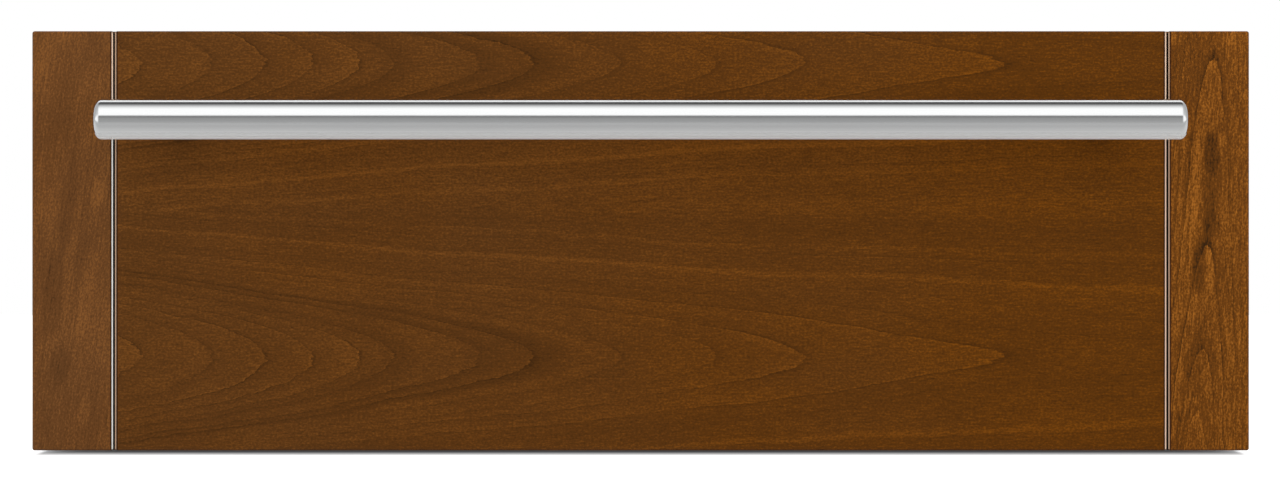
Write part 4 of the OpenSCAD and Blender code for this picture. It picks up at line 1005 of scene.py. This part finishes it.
@dataclass
class SubAssembly:
    """A group of pieces of the drawer. Sub-classes name their CAD nodes' finishes."""

    finishes: Dressing = worn()

    def dress(self) -> None:
        """Gives every CAD node of the group its finish, in each of its material slots."""
        for name, finish in self.finishes.items():
            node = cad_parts[name]
            for slot in node.material_slots:
                slot.material = finish.material()
            LOG.info("dressed %s in %s", name, finish.name)

    def build(self) -> None:
        """Builds the group's own pieces. Most groups have none."""

    def place(self, piece: bpy.types.Object, body: str, slot: str, replaced: tuple[str, ...] = ()) -> None:
        """Seats a new piece.

        Args:
            piece: The piece.
            body: The body that it rides on.
            slot: The record's material slot. It is not used.
            replaced: The CAD nodes that it stands for.
        """
        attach(piece, body)
        if replaced:
            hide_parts(*replaced)
        LOG.info("built %s on %s: %d faces", piece.name, body, len(piece.data.polygons))


@dataclass
class WoodenFront(SubAssembly):
    """Centre panel, stiles and the inlays between them."""

    finishes: Dressing = worn(
        (CHERRY_CENTRE, "centre_panel"), (CHERRY_LEFT, "left_stile"), (CHERRY_RIGHT, "right_stile"),
        (INLAY, "left_inlay", "right_inlay"),
    )


@dataclass
class BarHandle(SubAssembly):
    """The bar, its caps, posts and screws."""

    finishes: Dressing = worn(
        (SATIN_STEEL, "handle_bar", "handle_caps", "handle_posts"), (FASTENER, "handle_screws")
    )


@dataclass
class SteelFront(SubAssembly):
    """Shell, liner, insulation and gasket behind the wood. Sizes in millimetres."""

    gasket_half: Pair = (349.4, 105.0)
    gasket_middle: float = 132.0
    gasket_corner: float = 14.0
    gasket_back: float = -247.55
    foot_half: float = 5.0
    foot_height: float = 0.9
    bulb_half: Pair = (2.5, 1.75)
    bulb_middle: float = 1.7
    batt_low: tuple = (-369.4, -272.2, 11.4)
    batt_high: tuple = (369.4, -248.9, 195.6)
    batt_edge: float = 40.0
    batt_lump: float = 1.2
    finishes: Dressing = worn(
        (COATED, "door_shell"), (STAINLESS, "door_liner"), (FASTENER, "panel_screws")
    )

    def gasket_profile(self) -> np.ndarray:
        """The gasket's section: a flat foot under a round bulb, which is 250 degrees of an ellipse.

        Returns:
            Rows of the offset across and the height, clockwise.
        """
        turn = np.radians(np.linspace(-35, 215, 22))
        half, rise = self.bulb_half
        bulb = np.stack([half * np.cos(turn), self.bulb_middle + rise * np.sin(turn)], -1)
        foot = [(-self.foot_half, self.foot_height), (-self.foot_half, 0.0)]
        return np.concatenate([bulb, foot, [(-x, h) for x, h in reversed(foot)]])

    def build(self) -> None:
        """The gasket is the profile carried round a rounded rectangle, and the batt is a soft slab."""
        path, normal = round_loop(*self.gasket_half, self.gasket_corner, 12)
        profile = self.gasket_profile()
        ring = path[:, None] + normal[:, None] * profile[None, :, :1]
        height = np.broadcast_to(self.gasket_back + profile[:, 1], ring.shape[:2])
        points = np.stack([ring[..., 0], height, ring[..., 1] + self.gasket_middle], -1)
        surface = (points.reshape(-1, 3) * MM, quads(len(path), len(profile), True, True))
        self.place(make_piece("gasket_bulb", surface, SEAL), "drawer", "seal_rubber", ("door_gasket",))

        surface = slab(self.batt_low, self.batt_high, (60, 30), 1, self.batt_edge, self.batt_lump)
        batt = make_piece("door_batt", surface, BLANKET)
        self.place(batt, "drawer", "blanket", ("door_insulation",))


@dataclass
class ControlStrip(SubAssembly):
    """The strip in the top edge, with its buttons, lenses and printed signs. Sizes in millimetres."""

    button_top: float = 261.4
    button_y: float = -257.95
    pitch: float = 48.0
    stroke: float = 0.55
    sunk: float = 0.03
    proud: float = 0.05
    finishes: Dressing = worn(
        (STRIP, "control_housing"), (CONTROL_BOARD, "control_board"), (LENS, "indicator_lenses"),
        (BUTTON, "power_button", "proof_button", "low_button", "medium_button", "high_button"),
    )

    @staticmethod
    def arc(radius: float, start: float, end: float, middle: Pair = (0.0, 0.0)) -> np.ndarray:
        """Points on a circle from one angle in degrees to another."""
        turn = np.radians(np.linspace(start, end, 25))
        return np.stack([middle[0] + radius * np.cos(turn), middle[1] + radius * np.sin(turn)], -1)

    @staticmethod
    def bar(x: float, y: float, half: float, upright: bool = False) -> np.ndarray:
        """Points on a short straight stroke."""
        t = np.linspace(-half, half, 5)
        return np.stack([x + 0 * t, y + t] if upright else [x + t, y + 0 * t], -1)

    def signs(self) -> dict[str, list[np.ndarray]]:
        """The buttons' signs: a power mark, a dome over a line, and one, two or three lines.

        Returns:
            The strokes of each button's sign, round the button's middle.
        """
        lines = [self.bar(0.0, y, 2.0) for y in (-1.2, 0.0, 1.2)]
        return {
            "power_button": [self.arc(1.6, 125, 415), self.bar(0.0, 1.3, 1.0, True)],
            "proof_button": [self.arc(1.9, 10, 170, (0.0, -0.7)), self.bar(0.0, -1.2, 2.2)],
            "low_button": lines[:1],
            "medium_button": lines[:2],
            "high_button": lines,
        }

    def build(self) -> None:
        """Each sign is a set of raised strokes that rides on its own button."""
        heights = self.button_top - self.sunk, self.button_top + self.proud
        for i, (button, strokes) in enumerate(self.signs().items()):
            middle = np.array([(i - 2) * self.pitch, self.button_y])
            surface = combine(ribbon(stroke + middle, self.stroke, *heights) for stroke in strokes)
            self.place(make_piece(f"{button}_sign", surface, LEGEND, False), button, "button_plastic")


@dataclass
class MoistureVent(SubAssembly):
    """The sliding shutter over the liner's slots."""

    finishes: Dressing = worn((STAINLESS, "vent_guides", "vent_shutter"))


@dataclass
class DrawerBox(SubAssembly):
    """The pan, its rivets and the rack in it."""

    finishes: Dressing = worn(
        (STAINLESS, "drawer_box"), (FASTENER, "drawer_box_rivets"), (RACK_CHROME, "wire_rack")
    )


@dataclass
class BallRunners(SubAssembly):
    """Both runners: rails, cages with their balls, and the screws to the cavity."""

    finishes: Dressing = worn(
        (RUNNER_ZINC, "left_outer_rail", "left_middle_rail", "left_inner_rail"),
        (RUNNER_ZINC, "right_outer_rail", "right_middle_rail", "right_inner_rail"),
        (BALL_STEEL, "left_outer_cage", "left_inner_cage", "right_outer_cage", "right_inner_cage"),
        (FASTENER, "outer_rail_screws"),
    )


@dataclass
class Chassis(SubAssembly):
    """Face frame, panels, screws and feet."""

    finishes: Dressing = worn(
        (COATED, "face_frame", "base_pan", "left_side_panel", "right_side_panel", "top_cover", "rear_panel"),
        (FASTENER, "chassis_screws"), (FOOT_RUBBER, "glide_feet"),
    )


@dataclass
class WarmingCavity(SubAssembly):
    """The cavity's five walls, and the insulation round them. Sizes in millimetres."""

    blankets: tuple = (
        ((-357.4, -229.0, 17.6), (-339.8, 263.5, 246.4), 0),
        ((339.8, -229.0, 17.6), (357.4, 263.5, 246.4), 0),
        ((-339.0, -229.0, 17.3), (339.0, 263.5, 36.6), 2),
        ((-339.0, -229.0, 227.4), (339.0, 263.5, 246.7), 2),
        ((-357.4, 264.2, 17.6), (357.4, 283.4, 246.4), 1),
    )
    edge: float = 50.0
    lump: float = 1.4
    finishes: Dressing = worn(
        (STAINLESS, "cavity_floor", "cavity_left_wall", "cavity_right_wall", "cavity_roof", "cavity_back")
    )

    def build(self) -> None:
        """Five soft slabs: one on each side, below, above and behind."""
        parts = (slab(low, high, (48, 36), thin, self.edge, self.lump) for low, high, thin in self.blankets)
        blankets = make_piece("mineral_blankets", combine(parts), BLANKET)
        self.place(blankets, "chassis", "blanket", ("insulation_blankets",))


@dataclass
class Heater(SubAssembly):
    """Element, brackets, sensor and limit thermostat."""

    finishes: Dressing = worn(
        (ELEMENT, "heating_element"), (STAINLESS, "element_brackets", "temperature_sensor"),
        (THERMOSTAT, "limit_thermostat"),
    )


@dataclass
class RearBay(SubAssembly):
    """Power board, spacers, terminals and the supply bush."""

    finishes: Dressing = worn(
        (POWER_BOARD, "power_board"), (BAY_PLASTIC, "board_standoffs", "terminal_block"),
        (BUSH, "supply_grommet"),
    )


# ---- studio ----


@dataclass(frozen=True)
class TableTop(Finish):
    """The table: white to the camera, with the drawer's shadow and a painted shadow under it, and dimmer
    where metal mirrors it.
    """

    colour: float = 0.5
    glow: float = 0.9
    echo: Pair = (0.33, 0.3)
    echo_from: Pair = (-475.0, 230.0)
    under_half: Pair = (377.0, 7.0)
    under_front: Pair = (-280.0, 46.0)
    under_back: Pair = (330.0, 40.0)

    def paint(self, graph: Graph) -> dict[str, Value]:
        """It glows for the camera, and by the echo for mirrored rays, but hardly under the drawer, where the
        fading glow is a painted shadow.

        Args:
            graph: The material's tree.

        Returns:
            The shader's inputs by socket.
        """
        place = graph.point()
        x, y, _ = graph.split(place)
        # painted shadow: the glow fades under the drawer's footprint and towards its front edge
        under = abs(x).below(*self.under_half) * y.above(*self.under_front) * y.below(*self.under_back)
        echo = self.echo[0] + y.above(*self.echo_from) * self.echo[1]
        seen = graph.ray("Camera") + graph.ray("Transmission")
        light = seen * self.glow + graph.ray("Glossy") * echo
        return {
            "Base Color": graph.shade((self.colour,) * 3, 1.0 + graph.swing(place, 0.01, 0.004)),
            "Roughness": 1.0,
            "Specular IOR Level": 0.0,
            "Emission Color": graph.shade((1.0, 1.0, 1.0), light * (1.0 - under * 0.95)),
            "Emission Strength": 1.0,
        }


@dataclass(frozen=True)
class Studio:
    """A white table in a plain studio, lit by a wide soft sky. Sizes in metres, angles in degrees."""

    table_front: float = -0.86
    table_back: float = 2.6
    table_half: float = 2.4
    distance: float = 2.4065
    aside: float = -0.0004
    eye: float = 0.1505
    rise: float = -0.0223
    lens: float = 95.76
    sensor: float = 36.0
    side_edge: Pair = (0.42, 0.3)
    middle_sky: tuple = (
        (-180, 1.0), (-150, 0.8), (-90, 0.74), (-20, 0.74), (0, 0.6), (7, 0.58), (10, 0.4), (19, 0.38),
        (22, 2.1), (62, 2.1), (76, 1.45), (86, 0.85), (96, 0.33), (102, 0.1), (115, 0.1), (120, 1.7),
        (137, 2.0), (144, 1.0), (180, 1.0),
    )
    side_sky: tuple = (
        (-180, 0.9), (-90, 0.8), (-20, 1.2), (-10, 2.0), (20, 2.0), (30, 1.2), (60, 1.0), (100, 0.8),
        (180, 0.9),
    )

    def sky(self) -> None:
        """The light of each direction, by the angle turned from the front, up and over to the back.

        The angle is atan2(z, -y): 0 is level towards the camera, 90 straight up and 180 behind.
        """
        world = bpy.data.worlds.new("studio_sky")
        world.use_nodes = True
        graph = Graph(world.node_tree)
        x, y, z = graph.split(graph.node("TexCoord", output="Generated"))
        angle = (z.math("ARCTAN2", y * -1.0) * (180.0 / math.pi) + 180.0) / 360.0
        middle, side = [
            graph.split(graph.ramp(angle, [((a + 180.0) / 360.0, v / 4.0) for a, v in bands]))[0] * 4.0
            for bands in (self.middle_sky, self.side_sky)
        ]
        sideways = abs(x).above(*self.side_edge)
        level = middle * (1.0 - sideways) + side * sideways
        seen = graph.ray("Camera") + graph.ray("Transmission")
        strength = level * (1.0 - seen) + seen
        backdrop = graph.node("Background", None, {"Color": (1.0,) * 4, "Strength": strength})
        graph.node("OutputWorld", None, {"Surface": backdrop})
        bpy.context.scene.world = world

    def table(self) -> None:
        """A flat sheet, from a little in front of the drawer to far behind it."""
        xs = np.linspace(-self.table_half, self.table_half, TABLE_POINTS)
        ys = np.linspace(self.table_front, self.table_back, TABLE_POINTS)
        x, y = np.meshgrid(xs, ys, indexing="ij")
        points = np.stack([x, y, np.zeros_like(x)], -1).reshape(-1, 3)
        sheet = points, quads(TABLE_POINTS, TABLE_POINTS)
        make_piece("table_top", sheet, TableTop("table_white"), False)

    def camera(self) -> None:
        """A long lens, level and square to the front."""
        data = bpy.data.cameras.new("photo_camera")
        data.lens = self.lens
        data.sensor_width = self.sensor
        data.shift_y = self.rise
        data.clip_end = 100.0
        camera = bpy.data.objects.new("photo_camera", data)
        camera.location = (self.aside, -self.distance, self.eye)
        camera.rotation_euler = (math.pi / 2, 0.0, 0.0)
        bpy.context.scene.collection.objects.link(camera)
        bpy.context.scene.camera = camera

    def build(self) -> None:
        """Sets up light, table and camera."""
        bpy.context.scene.view_settings.view_transform = "Standard"
        self.camera()
        self.sky()
        self.table()
        LOG.info("built the studio")


def main() -> None:
    """Builds the studio and dresses the drawer, group by group."""
    logging.basicConfig(level=logging.INFO, format="%(message)s")
    Studio().build()
    groups: list[SubAssembly] = [
        WoodenFront(), BarHandle(), SteelFront(), ControlStrip(), MoistureVent(), DrawerBox(),
        BallRunners(), Chassis(), WarmingCavity(), Heater(), RearBay(),
    ]
    for group in groups:
        group.dress()
        group.build()


if __name__ == "__main__":
    main()
